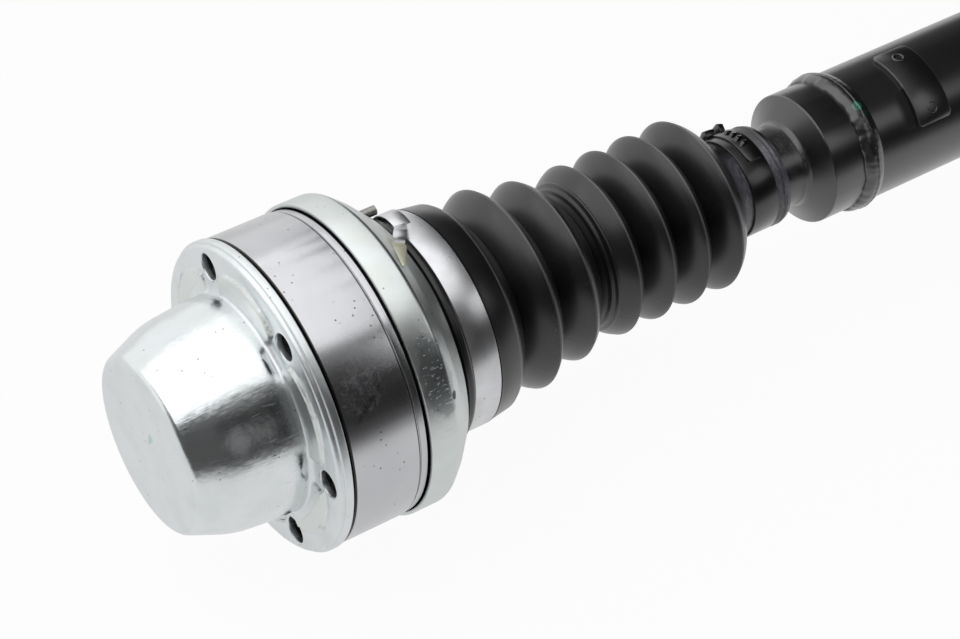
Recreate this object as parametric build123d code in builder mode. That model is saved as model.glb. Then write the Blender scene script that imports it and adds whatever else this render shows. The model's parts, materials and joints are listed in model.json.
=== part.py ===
"""Front propeller shaft: a flanged ball-type constant velocity joint under a bellows, a splined slip joint,
a welded tube and a Cardan joint with a four-hole flange yoke.

Millimetres. The shaft lies along X: the flange face of the ball joint is at X = 0 and its grease cap points to -X.
Z is up. Each piece is made in its own block or function and written to parts/.
"""

import os
from math import cos, pi, radians, sin

from build123d import *

# Sheet, fits and clearances
cap_sheet = 2.0
can_sheet = 1.6
band_sheet = 0.7
seat_gap = 0.05  # between turned pieces that sit in or on each other
running_gap = 0.05  # radial, a trunnion in its needles
ball_window_gap = 0.05  # each side of a ball, across the cage window
sphere_gap = 0.2  # between the cage and each race
track_gap = 0.38  # round a ball in its track
cut_margin = 1.0  # how far a cutter runs past what it cuts
same_length = 0.01  # two edges that differ by less are equally long

# Ball joint: bolt circle and outer race
flange_bolt_circle = 86.0
flange_bolt_count = 6
cap_hole_r = 4.3
race_thread_r = 4.0  # M8, left plain at its outer diameter
race_thread_depth = 24.0
race_r = 50.0
race_spigot_r = 48.2
race_lip_gap = 0.8  # under the lip of the boot can
race_shoulder_x = 5.0
race_ground_end_x = 28.0
race_rear_x = 45.4
race_nose_gap = 0.8  # the race's rear cone under the can's
race_edge = 0.6

# Balls, cage and inner race, all about one centre
cv_centre_x = 24.0
ball_count = 6
ball_r = 9.525
ball_circle_r = 29.5
first_ball_deg = 30.0
race_sphere_r = 34.5
cage_wall = 5.3
cage_half_width = 12.6
window_length = 22.0
window_corner = 3.0
inner_race_half_width = 12.0

# Grease cap: corners of its outline, each with its round
dome_end_x = -36.0
dome_corner_drop = 7.1  # each drop is how much smaller the dome is there than at its base
dome_corner_round = 3.0
dome_side_x = -22.0
dome_side_drop = 1.4
dome_side_round = 30.0
dome_neck_x = -8.0
dome_neck_round = 60.0
dome_base_r = 35.3
dome_base_round = 2.4
cap_flange_r = 49.6
cap_rim_r = 50.5
cap_rim_round = 2.6
cap_rim_step_x = 1.6
cap_rim_end_x = 4.3
gasket_sheet = 0.5
pad_from_dome = 5.1  # the middle of the pads, out from the dome's base
pad_width = 4.6
pad_span_deg = 20.0
pad_height = 1.0
pad_edge = 0.5

# Boot can
can_lip_x = 31.0
can_r = 51.2
can_shoulder_x = 40.4
can_slope_r = 46.0
can_neck_end_x = 66.0
can_bend = 2.4
can_neck_bend = 1.4
o_ring_x = 36.0
o_ring_r = 1.3
o_ring_groove_depth = 2.2
o_ring_groove_width = 3.0

# Boot: (x, height over the clamp's seat) round its lip, then (x, r) of each ridge and the valley behind it
boot_wall = 2.0
boot_seat_r = 35.2
boot_seat_wall = 2.2
boot_lip = ((48.8, 2.2), (50.6, 3.0), (55.0, 3.0), (56.6, 1.8))
boot_shoulder_x = 68.0
boot_shoulder_drop = 0.4
boot_ridges = ((74.2, 34.5), (90.0, 33.3), (105.8, 30.2), (124.0, 28.7), (137.3, 28.7), (150.6, 28.8), (164.0, 28.9))
boot_valleys = ((81.6, 25.4), (97.6, 22.4), (114.4, 20.6), (130.6, 19.6), (143.9, 19.6), (157.2, 19.6))
boot_crest_half = 0.9
boot_valley_half = 0.8
boot_tail_x = 173.5
boot_tail_r = 17.6
boot_small_seat_r = 16.5
boot_rim_x = 189.4
boot_rim_r = 16.9
boot_end_x = 193.0

# Large boot clamp
large_band_x = 57.2
large_band_width = 8.8
clamp_pin_r = 1.4
clamp_pin_length = 10.0
clamp_pin_x = 52.0
clamp_pin_deg = 46.0
clamp_pin_lift = 2.6  # between the pin and the band under it
arch_start_deg = 72.0
arch_width = 5.0

# Small boot clamp
small_band_x = 178.2
small_band_width = 9.6
cover_x = 181.0
cover_width = 6.6
cover_sheet = 0.8
cover_from_deg = 58.0
cover_to_deg = 118.0
cover_slots = 5
ear_from_deg = 39.0
ear_to_deg = 48.0
ear_root_deg = 3.0
ear_height = 3.6
ear_sheet = 0.8

# Stub shaft and slip spline
stub_r = 12.0
stub_nose_x = 6.5
stub_collar_r = 15.0
stub_collar_width = 3.0
stub_spline_x = 128.0
stub_end_x = 214.0
stub_edge = 1.0
race_spline_r = 11.2
race_spline_root_r = 10.1
slip_spline_r = 10.0
slip_spline_root_r = 8.9
spline_teeth = 16
spline_gap = 0.06
circlip_thickness = 1.6
circlip_r = 12.6
circlip_inner_r = 9.7
circlip_gap_deg = 40.0

# Sleeve with its weld head
sleeve_front_x = 150.0
sleeve_r = 13.6
sleeve_edge = 0.8
sleeve_step_edge = 0.2
sleeve_seat_r = 14.5
neck_r = 14.0
neck_x = 193.4
neck_fillet = 2.5
head_face_x = 203.0
head_edge_x = 207.5
head_edge = 0.8
head_r = 22.4
pilot_end_x = 242.0
sleeve_spline_end_x = 236.0
plug_r = 12.5
plug_thickness = 1.5
plug_x = 238.5

# Tube, welds and balance weight
tube_r = 22.7
tube_wall = 2.0
tube_front_x = 224.0
tube_rear_x = 442.0
weld_half_width = 3.6
weld_height = 1.8
weight_x = 243.0
weight_width = 14.0
weight_sheet = 1.2
weight_from_deg = 76.0
weight_to_deg = 153.5
weight_corner = 2.5
spot_weld_degs = (90.5, 141.0)
spot_weld_r = 1.7
spot_weld_depth = 0.7

# Cardan joint
cross_x = 502.0
throat_depth = 34.0  # from the cross centre to the floor between the ears
ear_outer = 33.5
ear_inner = 20.0
ear_round_r = 17.5
ear_edge = 1.5
throat_corner = 8.0
tube_yoke_floor = 12.0
yoke_neck_r = 22.4
flange_yoke_floor = 3.0  # how far the ears run into the flange
yoke_pilot_length = 12.0
cup_r = 11.9
cup_wall = 2.45
cup_end = 2.6
cup_half_span = 30.65
cup_open = 17.2
cup_edge = 0.6
trunnion_r = 7.2
trunnion_root_r = 8.6
trunnion_root = 14.8
cross_hub_r = 13.0
cross_hub_half = 11.0
seal_thickness = 2.0
snap_ring_thickness = 1.4
snap_ring_bite = 1.1
snap_ring_width = 2.6
snap_ring_opening = 6.0
snap_ring_eye_r = 1.6
snap_ring_hole_r = 0.7
snap_ring_groove = 1.5
nipple_deg = 45.0
nipple_boss_r = 4.4
nipple_seat = 15.4
nipple_hex_r = 3.2
nipple_hex_end = 17.4
nipple_neck_r = 2.0
nipple_neck_end = 19.4
nipple_head_r = 2.6
nipple_end = 21.4

# Far flange
far_flange_thickness = 9.0
far_flange_r = 45.0
far_flat = 37.0
far_bolt_circle = 74.5
far_bolt_count = 4
far_hole_r = 4.1
far_pilot_r = 23.5
far_pilot_depth = 2.5

ball_angles = [first_ball_deg + 360 / ball_count * i for i in range(ball_count)]
cage_outer_r = race_sphere_r - sphere_gap
cage_inner_r = cage_outer_r - cage_wall
tube_inner_r = tube_r - tube_wall
race_front_x = cap_sheet + gasket_sheet
race_rear_r = can_r - can_sheet - race_lip_gap
can_back_x = race_rear_x + can_sheet
pad_circle_r = dome_base_r + pad_from_dome
can_neck_r = boot_seat_r - boot_seat_wall
band_r = boot_seat_r + band_sheet
pilot_r = tube_inner_r - seat_gap
far_face_x = cross_x + throat_depth + far_flange_thickness
needle_inner_r = trunnion_r + running_gap
needle_outer_r = cup_r - cup_wall
cup_floor = cup_half_span - cup_end
centre = (cv_centre_x, 0, 0)

os.makedirs("parts", exist_ok=True)


def across(x):
    """The plane square to the shaft at x: its x is +Y and its y is +Z."""
    return Plane.YZ.offset(x)


def radial_plane(x, angle_deg):
    """A plane through the axis at x whose normal points outwards at angle_deg; its x runs along the shaft."""
    angle = radians(angle_deg)
    return Plane(origin=(x, 0, 0), x_dir=(1, 0, 0), z_dir=(0, cos(angle), sin(angle)))


def at_angle(radius, angle_deg):
    """A point across the shaft as (y, z)."""
    return (radius * cos(radians(angle_deg)), radius * sin(radians(angle_deg)))


def turned(points):
    """A solid of revolution about X from (x, r) points, closed back to the first one."""
    with BuildPart() as piece:
        with BuildSketch(Plane.XY):
            with BuildLine():
                Polyline(*points, close=True)
            make_face()
        revolve(axis=Axis.X)
    return piece.part


def ring_sector(x, length, inner_r, outer_r, from_deg, to_deg):
    """Part of a ring round the shaft, from one angle to another."""
    with BuildPart() as piece:
        with BuildSketch(across(x)):
            with BuildLine():
                CenterArc((0, 0), outer_r, from_deg, to_deg - from_deg)
                CenterArc((0, 0), inner_r, from_deg, to_deg - from_deg)
                Line(at_angle(inner_r, from_deg), at_angle(outer_r, from_deg))
                Line(at_angle(inner_r, to_deg), at_angle(outer_r, to_deg))
            make_face()
        extrude(amount=length)
    return piece.part


def spline_bar(x_from, x_to, outer_r, root_r, gap=0.0):
    """A bar with straight-sided splines. With a gap it is the cutter for the hub that slides on such a bar."""
    groove_depth = outer_r - root_r
    groove_width = pi * outer_r / spline_teeth - 2 * gap
    with BuildPart() as bar:
        with BuildSketch(across(x_from)):
            Circle(outer_r + gap)
            with PolarLocations(root_r + gap + groove_depth, spline_teeth):
                Rectangle(2 * groove_depth, groove_width, mode=Mode.SUBTRACT)
        extrude(amount=x_to - x_from)
    return bar.part


# Outer race: ground ring with a spherical bore, six ball tracks and six threaded holes
with BuildPart() as outer_race:
    with BuildSketch(Plane.XY):
        with BuildLine():
            Polyline(
                (race_front_x, 0),
                (race_front_x, race_spigot_r - race_edge),
                (race_front_x + race_edge, race_spigot_r),
                (race_shoulder_x, race_spigot_r),
                (race_shoulder_x, race_r - race_edge),
                (race_shoulder_x + race_edge, race_r),
                (race_ground_end_x - race_edge, race_r),
                (race_ground_end_x + race_edge, race_rear_r),
                (can_shoulder_x, race_rear_r),
                (race_rear_x, can_slope_r - can_sheet - race_nose_gap),
                (race_rear_x, 0),
                close=True,
            )
        make_face()
    revolve(axis=Axis.X)
    with Locations(centre):
        Sphere(race_sphere_r, mode=Mode.SUBTRACT)
    with Locations(*[Location(centre, (angle, 0, 0)) for angle in ball_angles[:3]]):
        Torus(ball_circle_r, ball_r + track_gap, mode=Mode.SUBTRACT)
    with BuildSketch(across(race_front_x)):
        with PolarLocations(flange_bolt_circle / 2, flange_bolt_count):
            Circle(race_thread_r)
    extrude(amount=race_thread_depth, mode=Mode.SUBTRACT)
    with BuildSketch(Plane.XY):
        with Locations((o_ring_x, race_rear_r)):
            Rectangle(o_ring_groove_width, 2 * o_ring_groove_depth)
    revolve(axis=Axis.X, mode=Mode.SUBTRACT)
outer_race.part.label = "outer_race"
export_step(outer_race.part, "parts/outer_race.step")

# Balls
for number, angle in enumerate(ball_angles, start=1):
    y, z = at_angle(ball_circle_r, angle)
    with BuildPart() as ball:
        with Locations((cv_centre_x, y, z)):
            Sphere(ball_r)
    ball.part.label = f"ball_{number}"
    export_step(ball.part, f"parts/ball_{number}.step")

# Cage: a spherical band with a window for each ball
with BuildPart() as ball_cage:
    with Locations(Location(centre, (0, 90, 0))):
        Cylinder(cage_outer_r, 2 * cage_half_width)
    with Locations(centre):
        Sphere(cage_outer_r, mode=Mode.INTERSECT)
        Sphere(cage_inner_r, mode=Mode.SUBTRACT)
    for angle in ball_angles:
        with BuildSketch(radial_plane(cv_centre_x, angle).offset(cage_inner_r / 2)):
            RectangleRounded(2 * (ball_r + ball_window_gap), window_length, window_corner)
        extrude(amount=cage_outer_r, mode=Mode.SUBTRACT)
ball_cage.part.label = "ball_cage"
export_step(ball_cage.part, "parts/ball_cage.step")

# Inner race: a sphere cut to length, tracked and splined on to the stub shaft
with BuildPart() as inner_race:
    with Locations(Location(centre, (0, 90, 0))):
        Cylinder(cage_inner_r, 2 * inner_race_half_width)
    with Locations(centre):
        Sphere(cage_inner_r - sphere_gap, mode=Mode.INTERSECT)
    with Locations(*[Location(centre, (angle, 0, 0)) for angle in ball_angles[:3]]):
        Torus(ball_circle_r, ball_r + track_gap, mode=Mode.SUBTRACT)
    add(
        spline_bar(
            cv_centre_x - inner_race_half_width,
            cv_centre_x + inner_race_half_width,
            race_spline_r,
            race_spline_root_r,
            spline_gap,
        ),
        mode=Mode.SUBTRACT,
    )
inner_race.part.label = "inner_race"
export_step(inner_race.part, "parts/inner_race.step")

# Grease cap: one pressing, from the dome's flat end to the skirt round the race's spigot
with BuildPart() as grease_cap:
    with BuildSketch(Plane.XY):
        with BuildLine():
            FilletPolyline(
                (dome_end_x, 0),
                (dome_end_x, dome_base_r - dome_corner_drop),
                (dome_side_x, dome_base_r - dome_side_drop),
                (dome_neck_x, dome_base_r),
                (0, dome_base_r),
                (0, cap_rim_r),
                (cap_rim_end_x, cap_rim_r),
                radius=[dome_corner_round, dome_side_round, dome_neck_round, dome_base_round, cap_rim_round],
            )
            offset(amount=cap_sheet, side=Side.RIGHT)
        make_face()
    revolve(axis=Axis.X)
    for number in range(flange_bolt_count):
        pad_start = (number + 0.5) * 360 / flange_bolt_count - pad_span_deg / 2
        with BuildSketch(across(0)):
            SlotArc(CenterArc((0, 0), pad_circle_r, pad_start, pad_span_deg, mode=Mode.PRIVATE), pad_width)
        extrude(amount=-pad_height)
    pad_tops = grease_cap.faces().filter_by(Axis.X).filter_by_position(
        Axis.X, -pad_height - pad_edge, -pad_height + pad_edge
    )
    chamfer(pad_tops.edges(), pad_edge)
    with BuildSketch(across(0)):
        with PolarLocations(flange_bolt_circle / 2, flange_bolt_count):
            Circle(cap_hole_r)
    extrude(amount=cap_sheet, mode=Mode.SUBTRACT)
    with BuildSketch(across(-cut_margin)):
        Circle(cap_rim_r + cut_margin)
        Circle(cap_flange_r, mode=Mode.SUBTRACT)
    extrude(amount=cap_rim_step_x + cut_margin, mode=Mode.SUBTRACT)
grease_cap.part.label = "grease_cap"
export_step(grease_cap.part, "parts/grease_cap.step")

# Gasket between the cap's flange and the race
with BuildPart() as cap_gasket:
    with BuildSketch(across(cap_sheet)):
        Circle(race_spigot_r - race_edge)
        Circle(dome_base_r, mode=Mode.SUBTRACT)
        with PolarLocations(flange_bolt_circle / 2, flange_bolt_count):
            Circle(cap_hole_r, mode=Mode.SUBTRACT)
    extrude(amount=gasket_sheet)
cap_gasket.part.label = "cap_gasket"
export_step(cap_gasket.part, "parts/cap_gasket.step")

# O-ring in the race's rear groove, under the lip of the can
with BuildPart() as can_o_ring:
    with BuildSketch(Plane.XY):
        with Locations((o_ring_x, race_rear_r - o_ring_groove_depth + o_ring_r)):
            Circle(o_ring_r)
    revolve(axis=Axis.X)
can_o_ring.part.label = "can_o_ring"
export_step(can_o_ring.part, "parts/can_o_ring.step")

# Boot can: pressed sheet from its lip on the race, over the shoulder and in to the neck that carries the boot
with BuildPart() as boot_can:
    with BuildSketch(Plane.XY):
        with BuildLine():
            FilletPolyline(
                (can_lip_x, can_r),
                (can_shoulder_x, can_r),
                (can_back_x, can_slope_r),
                (can_back_x, can_neck_r),
                (can_neck_end_x, can_neck_r),
                radius=[can_bend, can_bend, can_neck_bend],
            )
            offset(amount=can_sheet, side=Side.RIGHT)
        make_face()
    revolve(axis=Axis.X)
boot_can.part.label = "boot_can"
export_step(boot_can.part, "parts/boot_can.step")


def bellows_line(ridges, valleys):
    """(x, r) points over ridges and the valleys between or behind them, each with its narrow flat."""
    stops = sorted(
        [(x, r, boot_crest_half) for x, r in ridges] + [(x, r, boot_valley_half) for x, r in valleys]
    )
    return [(x + side * half, r) for x, r, half in stops for side in (-1, 1)]


def inside(points):
    """The same points one boot wall further in, in reverse order."""
    return [(x, r - boot_wall) for x, r in reversed(points)]


# Boot, in the three lengths that follow the ball joint's two tilts and the slip joint
front_split, rear_split = boot_valleys[0], boot_valleys[2]
boot_front_x = can_back_x + can_neck_bend
front_run = [(boot_shoulder_x, boot_seat_r - boot_shoulder_drop), *bellows_line(boot_ridges[:1], [])]
boot_front = turned(
    [
        (boot_front_x, can_neck_r),
        *[(x, boot_seat_r + height) for x, height in boot_lip],
        (large_band_x - seat_gap, boot_seat_r),
        (large_band_x + large_band_width + seat_gap, boot_seat_r),
        *front_run,
        front_split,
        (front_split[0], front_split[1] - boot_wall),
        *inside(front_run),
        (can_neck_end_x, can_neck_r),
    ]
)
middle_run = bellows_line(boot_ridges[1:3], boot_valleys[1:2])
boot_middle = turned(
    [
        front_split,
        *middle_run,
        rear_split,
        (rear_split[0], rear_split[1] - boot_wall),
        *inside(middle_run),
        (front_split[0], front_split[1] - boot_wall),
    ]
)
rear_run = [*bellows_line(boot_ridges[3:], boot_valleys[3:]), (boot_tail_x, boot_tail_r)]
boot_rear = turned(
    [
        rear_split,
        *rear_run,
        (small_band_x - seat_gap, boot_small_seat_r),
        (small_band_x + small_band_width + seat_gap, boot_small_seat_r),
        (boot_rim_x, boot_rim_r),
        (boot_end_x, boot_rim_r),
        (boot_end_x, sleeve_seat_r),
        (boot_tail_x + boot_wall, sleeve_seat_r),
        *inside(rear_run),
        (rear_split[0], rear_split[1] - boot_wall),
    ]
)
for name, piece in (("boot_front", boot_front), ("boot_middle", boot_middle), ("boot_rear", boot_rear)):
    piece.label = name
    export_step(piece, f"parts/{name}.step")

# Large clamp: the band, its end standing off in an arch, and the pin that the end is rolled round
pin_centre_r = band_r + clamp_pin_lift + clamp_pin_r
arch_top_r = pin_centre_r + clamp_pin_r + seat_gap
with BuildPart() as large_clamp_band:
    with BuildSketch(across(large_band_x)):
        Circle(band_r)
        Circle(boot_seat_r, mode=Mode.SUBTRACT)
    extrude(amount=large_band_width)
    with BuildSketch(across(large_band_x)):
        with BuildLine():
            arch_inside = Spline(
                at_angle(band_r - band_sheet, arch_start_deg),
                at_angle(arch_top_r, clamp_pin_deg),
                tangents=[at_angle(1, arch_start_deg - 90), at_angle(1, clamp_pin_deg - 90)],
            )
            arch_outside = Spline(
                at_angle(band_r, arch_start_deg),
                at_angle(arch_top_r + band_sheet, clamp_pin_deg),
                tangents=[at_angle(1, arch_start_deg - 90), at_angle(1, clamp_pin_deg - 90)],
            )
            Line(arch_inside @ 0, arch_outside @ 0)
            Line(arch_inside @ 1, arch_outside @ 1)
        make_face()
    extrude(amount=arch_width)
large_clamp_band.part.label = "large_clamp_band"
export_step(large_clamp_band.part, "parts/large_clamp_band.step")

with BuildPart() as large_clamp_pin:
    with BuildSketch(across(clamp_pin_x)):
        with Locations(at_angle(pin_centre_r, clamp_pin_deg)):
            Circle(clamp_pin_r)
            Circle(clamp_pin_r / 2, mode=Mode.SUBTRACT)
    extrude(amount=clamp_pin_length)
large_clamp_pin.part.label = "large_clamp_pin"
export_step(large_clamp_pin.part, "parts/large_clamp_pin.step")

# Small clamp: low-profile band, slotted interlocking cover and the hooked ear
small_band_r = boot_small_seat_r + band_sheet
cover_r = small_band_r + cover_sheet
with BuildPart() as small_clamp:
    with BuildSketch(across(small_band_x)):
        Circle(small_band_r)
        Circle(boot_small_seat_r, mode=Mode.SUBTRACT)
    extrude(amount=small_band_width)
    add(ring_sector(cover_x, cover_width, small_band_r - band_sheet / 2, cover_r, cover_from_deg, cover_to_deg))
    cover_step = (cover_to_deg - cover_from_deg) / (cover_slots + 1)
    for number in range(cover_slots):
        with BuildSketch(radial_plane(cover_x + cover_width / 2, cover_from_deg + (number + 1) * cover_step)):
            Rectangle(cover_width / 2, cover_sheet)
        extrude(amount=cover_r + cut_margin, mode=Mode.SUBTRACT)
    ear_r = small_band_r + ear_height
    add(ring_sector(small_band_x, small_band_width, small_band_r, ear_r, ear_to_deg - ear_root_deg, ear_to_deg))
    add(ring_sector(small_band_x, small_band_width, ear_r - ear_sheet, ear_r, ear_from_deg, ear_to_deg))
small_clamp.part.label = "small_clamp"
export_step(small_clamp.part, "parts/small_clamp.step")

# Stub shaft: splines for the inner race, a collar behind it, a plain length and the slip splines
race_end_x = cv_centre_x + inner_race_half_width + seat_gap
circlip_x = cv_centre_x - inner_race_half_width - seat_gap - circlip_thickness
with BuildPart() as stub_shaft:
    add(spline_bar(stub_nose_x, race_end_x, race_spline_r, race_spline_root_r))
    add(spline_bar(stub_spline_x, stub_end_x, slip_spline_r, slip_spline_root_r))
    add(
        turned(
            [
                (race_end_x, 0),
                (race_end_x, stub_collar_r),
                (race_end_x + stub_collar_width, stub_collar_r),
                (race_end_x + 2 * stub_collar_width, stub_r),
                (stub_spline_x - 2 * stub_edge, stub_r),
                (stub_spline_x, slip_spline_r),
                (stub_spline_x, 0),
            ]
        )
    )
    add(
        turned(
            [
                (stub_nose_x, 0),
                (stub_nose_x, race_spline_root_r - stub_edge),
                (stub_nose_x + 2 * stub_edge, race_spline_r + stub_edge),
                (race_end_x, stub_collar_r),
                (stub_spline_x, stub_collar_r),
                (stub_end_x - 2 * stub_edge, slip_spline_r + stub_edge),
                (stub_end_x, slip_spline_root_r - stub_edge),
                (stub_end_x, 0),
            ]
        ),
        mode=Mode.INTERSECT,
    )
    with BuildSketch(across(circlip_x - seat_gap)):
        Circle(stub_r)
        Circle(circlip_inner_r - seat_gap, mode=Mode.SUBTRACT)
    extrude(amount=circlip_thickness + 2 * seat_gap, mode=Mode.SUBTRACT)
stub_shaft.part.label = "stub_shaft"
export_step(stub_shaft.part, "parts/stub_shaft.step")

race_circlip = ring_sector(
    circlip_x, circlip_thickness, circlip_inner_r, circlip_r, circlip_gap_deg / 2, 360 - circlip_gap_deg / 2
)
race_circlip.label = "race_circlip"
export_step(race_circlip, "parts/race_circlip.step")

# Sleeve: internal splines, the boot's seat, the bare neck and the head that the tube is welded to
with BuildPart() as spline_sleeve:
    with BuildSketch(Plane.XY):
        with BuildLine():
            FilletPolyline(
                (sleeve_front_x, 0),
                (sleeve_front_x, sleeve_r),
                (boot_tail_x, sleeve_r),
                (boot_tail_x, sleeve_seat_r),
                (boot_end_x, sleeve_seat_r),
                (neck_x, neck_r),
                (head_face_x, neck_r),
                (head_edge_x, head_r),
                (tube_front_x, head_r),
                radius=[sleeve_edge, *[sleeve_step_edge] * 4, neck_fillet, head_edge],
            )
            Polyline(
                (tube_front_x, head_r),
                (tube_front_x, pilot_r),
                (pilot_end_x, pilot_r),
                (pilot_end_x, 0),
                (sleeve_front_x, 0),
            )
        make_face()
    revolve(axis=Axis.X)
    add(
        spline_bar(sleeve_front_x, sleeve_spline_end_x, slip_spline_r, slip_spline_root_r, spline_gap),
        mode=Mode.SUBTRACT,
    )
    with BuildSketch(across(sleeve_spline_end_x)):
        Circle(plug_r)
    extrude(amount=pilot_end_x - sleeve_spline_end_x, mode=Mode.SUBTRACT)
spline_sleeve.part.label = "spline_sleeve"
export_step(spline_sleeve.part, "parts/spline_sleeve.step")

with BuildPart() as sleeve_plug:
    with BuildSketch(across(plug_x)):
        Circle(plug_r - seat_gap)
    extrude(amount=plug_thickness)
sleeve_plug.part.label = "sleeve_plug"
export_step(sleeve_plug.part, "parts/sleeve_plug.step")

with BuildPart() as shaft_tube:
    with BuildSketch(across(tube_front_x)):
        Circle(tube_r)
        Circle(tube_inner_r, mode=Mode.SUBTRACT)
    extrude(amount=tube_rear_x - tube_front_x)
shaft_tube.part.label = "shaft_tube"
export_step(shaft_tube.part, "parts/shaft_tube.step")


def weld_bead(joint_x, front_r, rear_r):
    """A raised bead over the joint between two round surfaces."""
    with BuildPart() as bead:
        with BuildSketch(Plane.XY):
            with BuildLine():
                ThreePointArc(
                    (joint_x - weld_half_width, front_r),
                    (joint_x, (front_r + rear_r) / 2 + weld_height),
                    (joint_x + weld_half_width, rear_r),
                )
                Polyline(
                    (joint_x + weld_half_width, rear_r),
                    (joint_x + weld_half_width, 0),
                    (joint_x - weld_half_width, 0),
                    (joint_x - weld_half_width, front_r),
                )
            make_face()
        revolve(axis=Axis.X)
        for radius, side in ((front_r, -1), (rear_r, 1)):
            with BuildSketch(across(joint_x)):
                Circle(radius)
            extrude(amount=2 * side * weld_half_width, mode=Mode.SUBTRACT)
    return bead.part


for name, piece in (
    ("front_weld", weld_bead(tube_front_x, head_r, tube_r)),
    ("rear_weld", weld_bead(tube_rear_x, tube_r, yoke_neck_r)),
):
    piece.label = name
    export_step(piece, f"parts/{name}.step")

# Balance weight: a curved plate with rounded corners and two spot welds
with BuildPart() as balance_weight:
    weight_r = tube_r + weight_sheet
    add(ring_sector(weight_x, weight_width, tube_r, weight_r, weight_from_deg, weight_to_deg))
    corners = balance_weight.edges().filter_by(lambda edge: abs(edge.length - weight_sheet) < same_length)
    fillet(corners, weight_corner)
    dimple_r = (spot_weld_r**2 + spot_weld_depth**2) / (2 * spot_weld_depth)
    for angle in spot_weld_degs:
        y, z = at_angle(weight_r - spot_weld_depth + dimple_r, angle)
        with Locations((weight_x + weight_width / 2, y, z)):
            Sphere(dimple_r, mode=Mode.SUBTRACT)
balance_weight.part.label = "balance_weight"
export_step(balance_weight.part, "parts/balance_weight.step")


def fork(floor, base_r, foot_half):
    """Two ears along Y round a cross at the origin, bored for the cups and their rings.

    Their floor lies to -X, base_r to each side along Y and foot_half along Z.
    """
    back_x = -(throat_depth + floor)
    with BuildPart() as ears:
        with BuildSketch(Plane.XY):
            with BuildLine():
                FilletPolyline(
                    (ear_round_r, ear_inner),
                    (-throat_depth, ear_inner),
                    (-throat_depth, -ear_inner),
                    (ear_round_r, -ear_inner),
                    radius=throat_corner,
                )
                Polyline(
                    (ear_round_r, -ear_inner),
                    (ear_round_r, -ear_outer),
                    (-throat_depth + throat_corner, -ear_outer),
                    (back_x, -base_r),
                    (back_x, base_r),
                    (-throat_depth + throat_corner, ear_outer),
                    (ear_round_r, ear_outer),
                    (ear_round_r, ear_inner),
                )
            make_face()
        extrude(amount=ear_outer, both=True)
        with BuildSketch(Plane.XZ):
            Circle(ear_round_r)
            with BuildLine():
                Polyline(
                    (0, ear_round_r),
                    (0, -ear_round_r),
                    (-throat_depth, -ear_round_r - ear_edge),
                    (back_x, -foot_half),
                    (back_x, foot_half),
                    (-throat_depth, ear_round_r + ear_edge),
                    close=True,
                )
            make_face()
        extrude(amount=ear_outer, both=True, mode=Mode.INTERSECT)
        faces = ears.faces().filter_by(Axis.Y).sort_by(Axis.Y)
        fillet([*faces[0].edges(), *faces[-1].edges()], ear_edge)
        with Locations(Location((0, 0, 0), (90, 0, 0))):
            Cylinder(cup_r + seat_gap, 2 * (ear_outer + cut_margin), mode=Mode.SUBTRACT)
            for side in (-1, 1):
                with Locations((0, 0, side * (cup_half_span + snap_ring_groove / 2))):
                    Cylinder(cup_r + snap_ring_bite, snap_ring_groove, mode=Mode.SUBTRACT)
    return ears.part


# Tube yoke: a pilot in the tube, a short neck and the fork
with BuildPart() as tube_yoke:
    with BuildSketch(across(tube_rear_x)):
        Circle(yoke_neck_r)
    extrude(amount=cross_x - throat_depth - tube_yoke_floor - tube_rear_x)
    with BuildSketch(across(tube_rear_x)):
        Circle(pilot_r)
    extrude(amount=-yoke_pilot_length)
    add(fork(tube_yoke_floor, yoke_neck_r, yoke_neck_r).moved(Location((cross_x, 0, 0))))
tube_yoke.part.label = "tube_yoke"
export_step(tube_yoke.part, "parts/tube_yoke.step")

# Flange yoke: a four-hole flange with two flats and a pilot recess, its ears a quarter turn from the tube yoke's
with BuildPart() as flange_yoke:
    with BuildSketch(across(far_face_x)):
        Circle(far_flange_r)
        Rectangle(2 * far_flange_r, 2 * far_flat, mode=Mode.INTERSECT)
        with PolarLocations(far_bolt_circle / 2, far_bolt_count, start_angle=180 / far_bolt_count):
            Circle(far_hole_r, mode=Mode.SUBTRACT)
    extrude(amount=-far_flange_thickness)
    add(fork(flange_yoke_floor, ear_outer, ear_round_r + ear_edge).moved(Location((cross_x, 0, 0), (90, 0, 180))))
    with BuildSketch(across(far_face_x)):
        Circle(far_pilot_r)
    extrude(amount=-far_pilot_depth, mode=Mode.SUBTRACT)
flange_yoke.part.label = "flange_yoke"
export_step(flange_yoke.part, "parts/flange_yoke.step")

# Cross: hub, four trunnions with thicker roots, and a grease nipple between two of them
with BuildPart() as cross:
    with Locations(Location((cross_x, 0, 0), (0, 90, 0))):
        Cylinder(cross_hub_r, 2 * cross_hub_half)
    for angle in (0, 90):
        with Locations(Location((cross_x, 0, 0), (90 + angle, 0, 0))):
            Cylinder(trunnion_root_r, 2 * trunnion_root)
            Cylinder(trunnion_r, 2 * (cup_half_span - cup_end - seat_gap))
    with Locations(Location((cross_x, 0, 0), (nipple_deg - 90, 0, 0))):
        Cylinder(nipple_boss_r, nipple_seat, align=(Align.CENTER, Align.CENTER, Align.MIN))
cross.part.label = "cross"
export_step(cross.part, "parts/cross.step")


def turned_at(points, angle_deg):
    """A solid of revolution about a line out of the cross centre, from (distance, radius) points."""
    y, z = at_angle(1, angle_deg)
    with BuildPart() as piece:
        with BuildSketch(Plane(origin=(cross_x, 0, 0), x_dir=(0, y, z), z_dir=(-1, 0, 0))):
            with BuildLine():
                Polyline(*points, close=True)
            make_face()
        revolve(axis=Axis((cross_x, 0, 0), (0, y, z)))
    return piece.part


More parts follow.
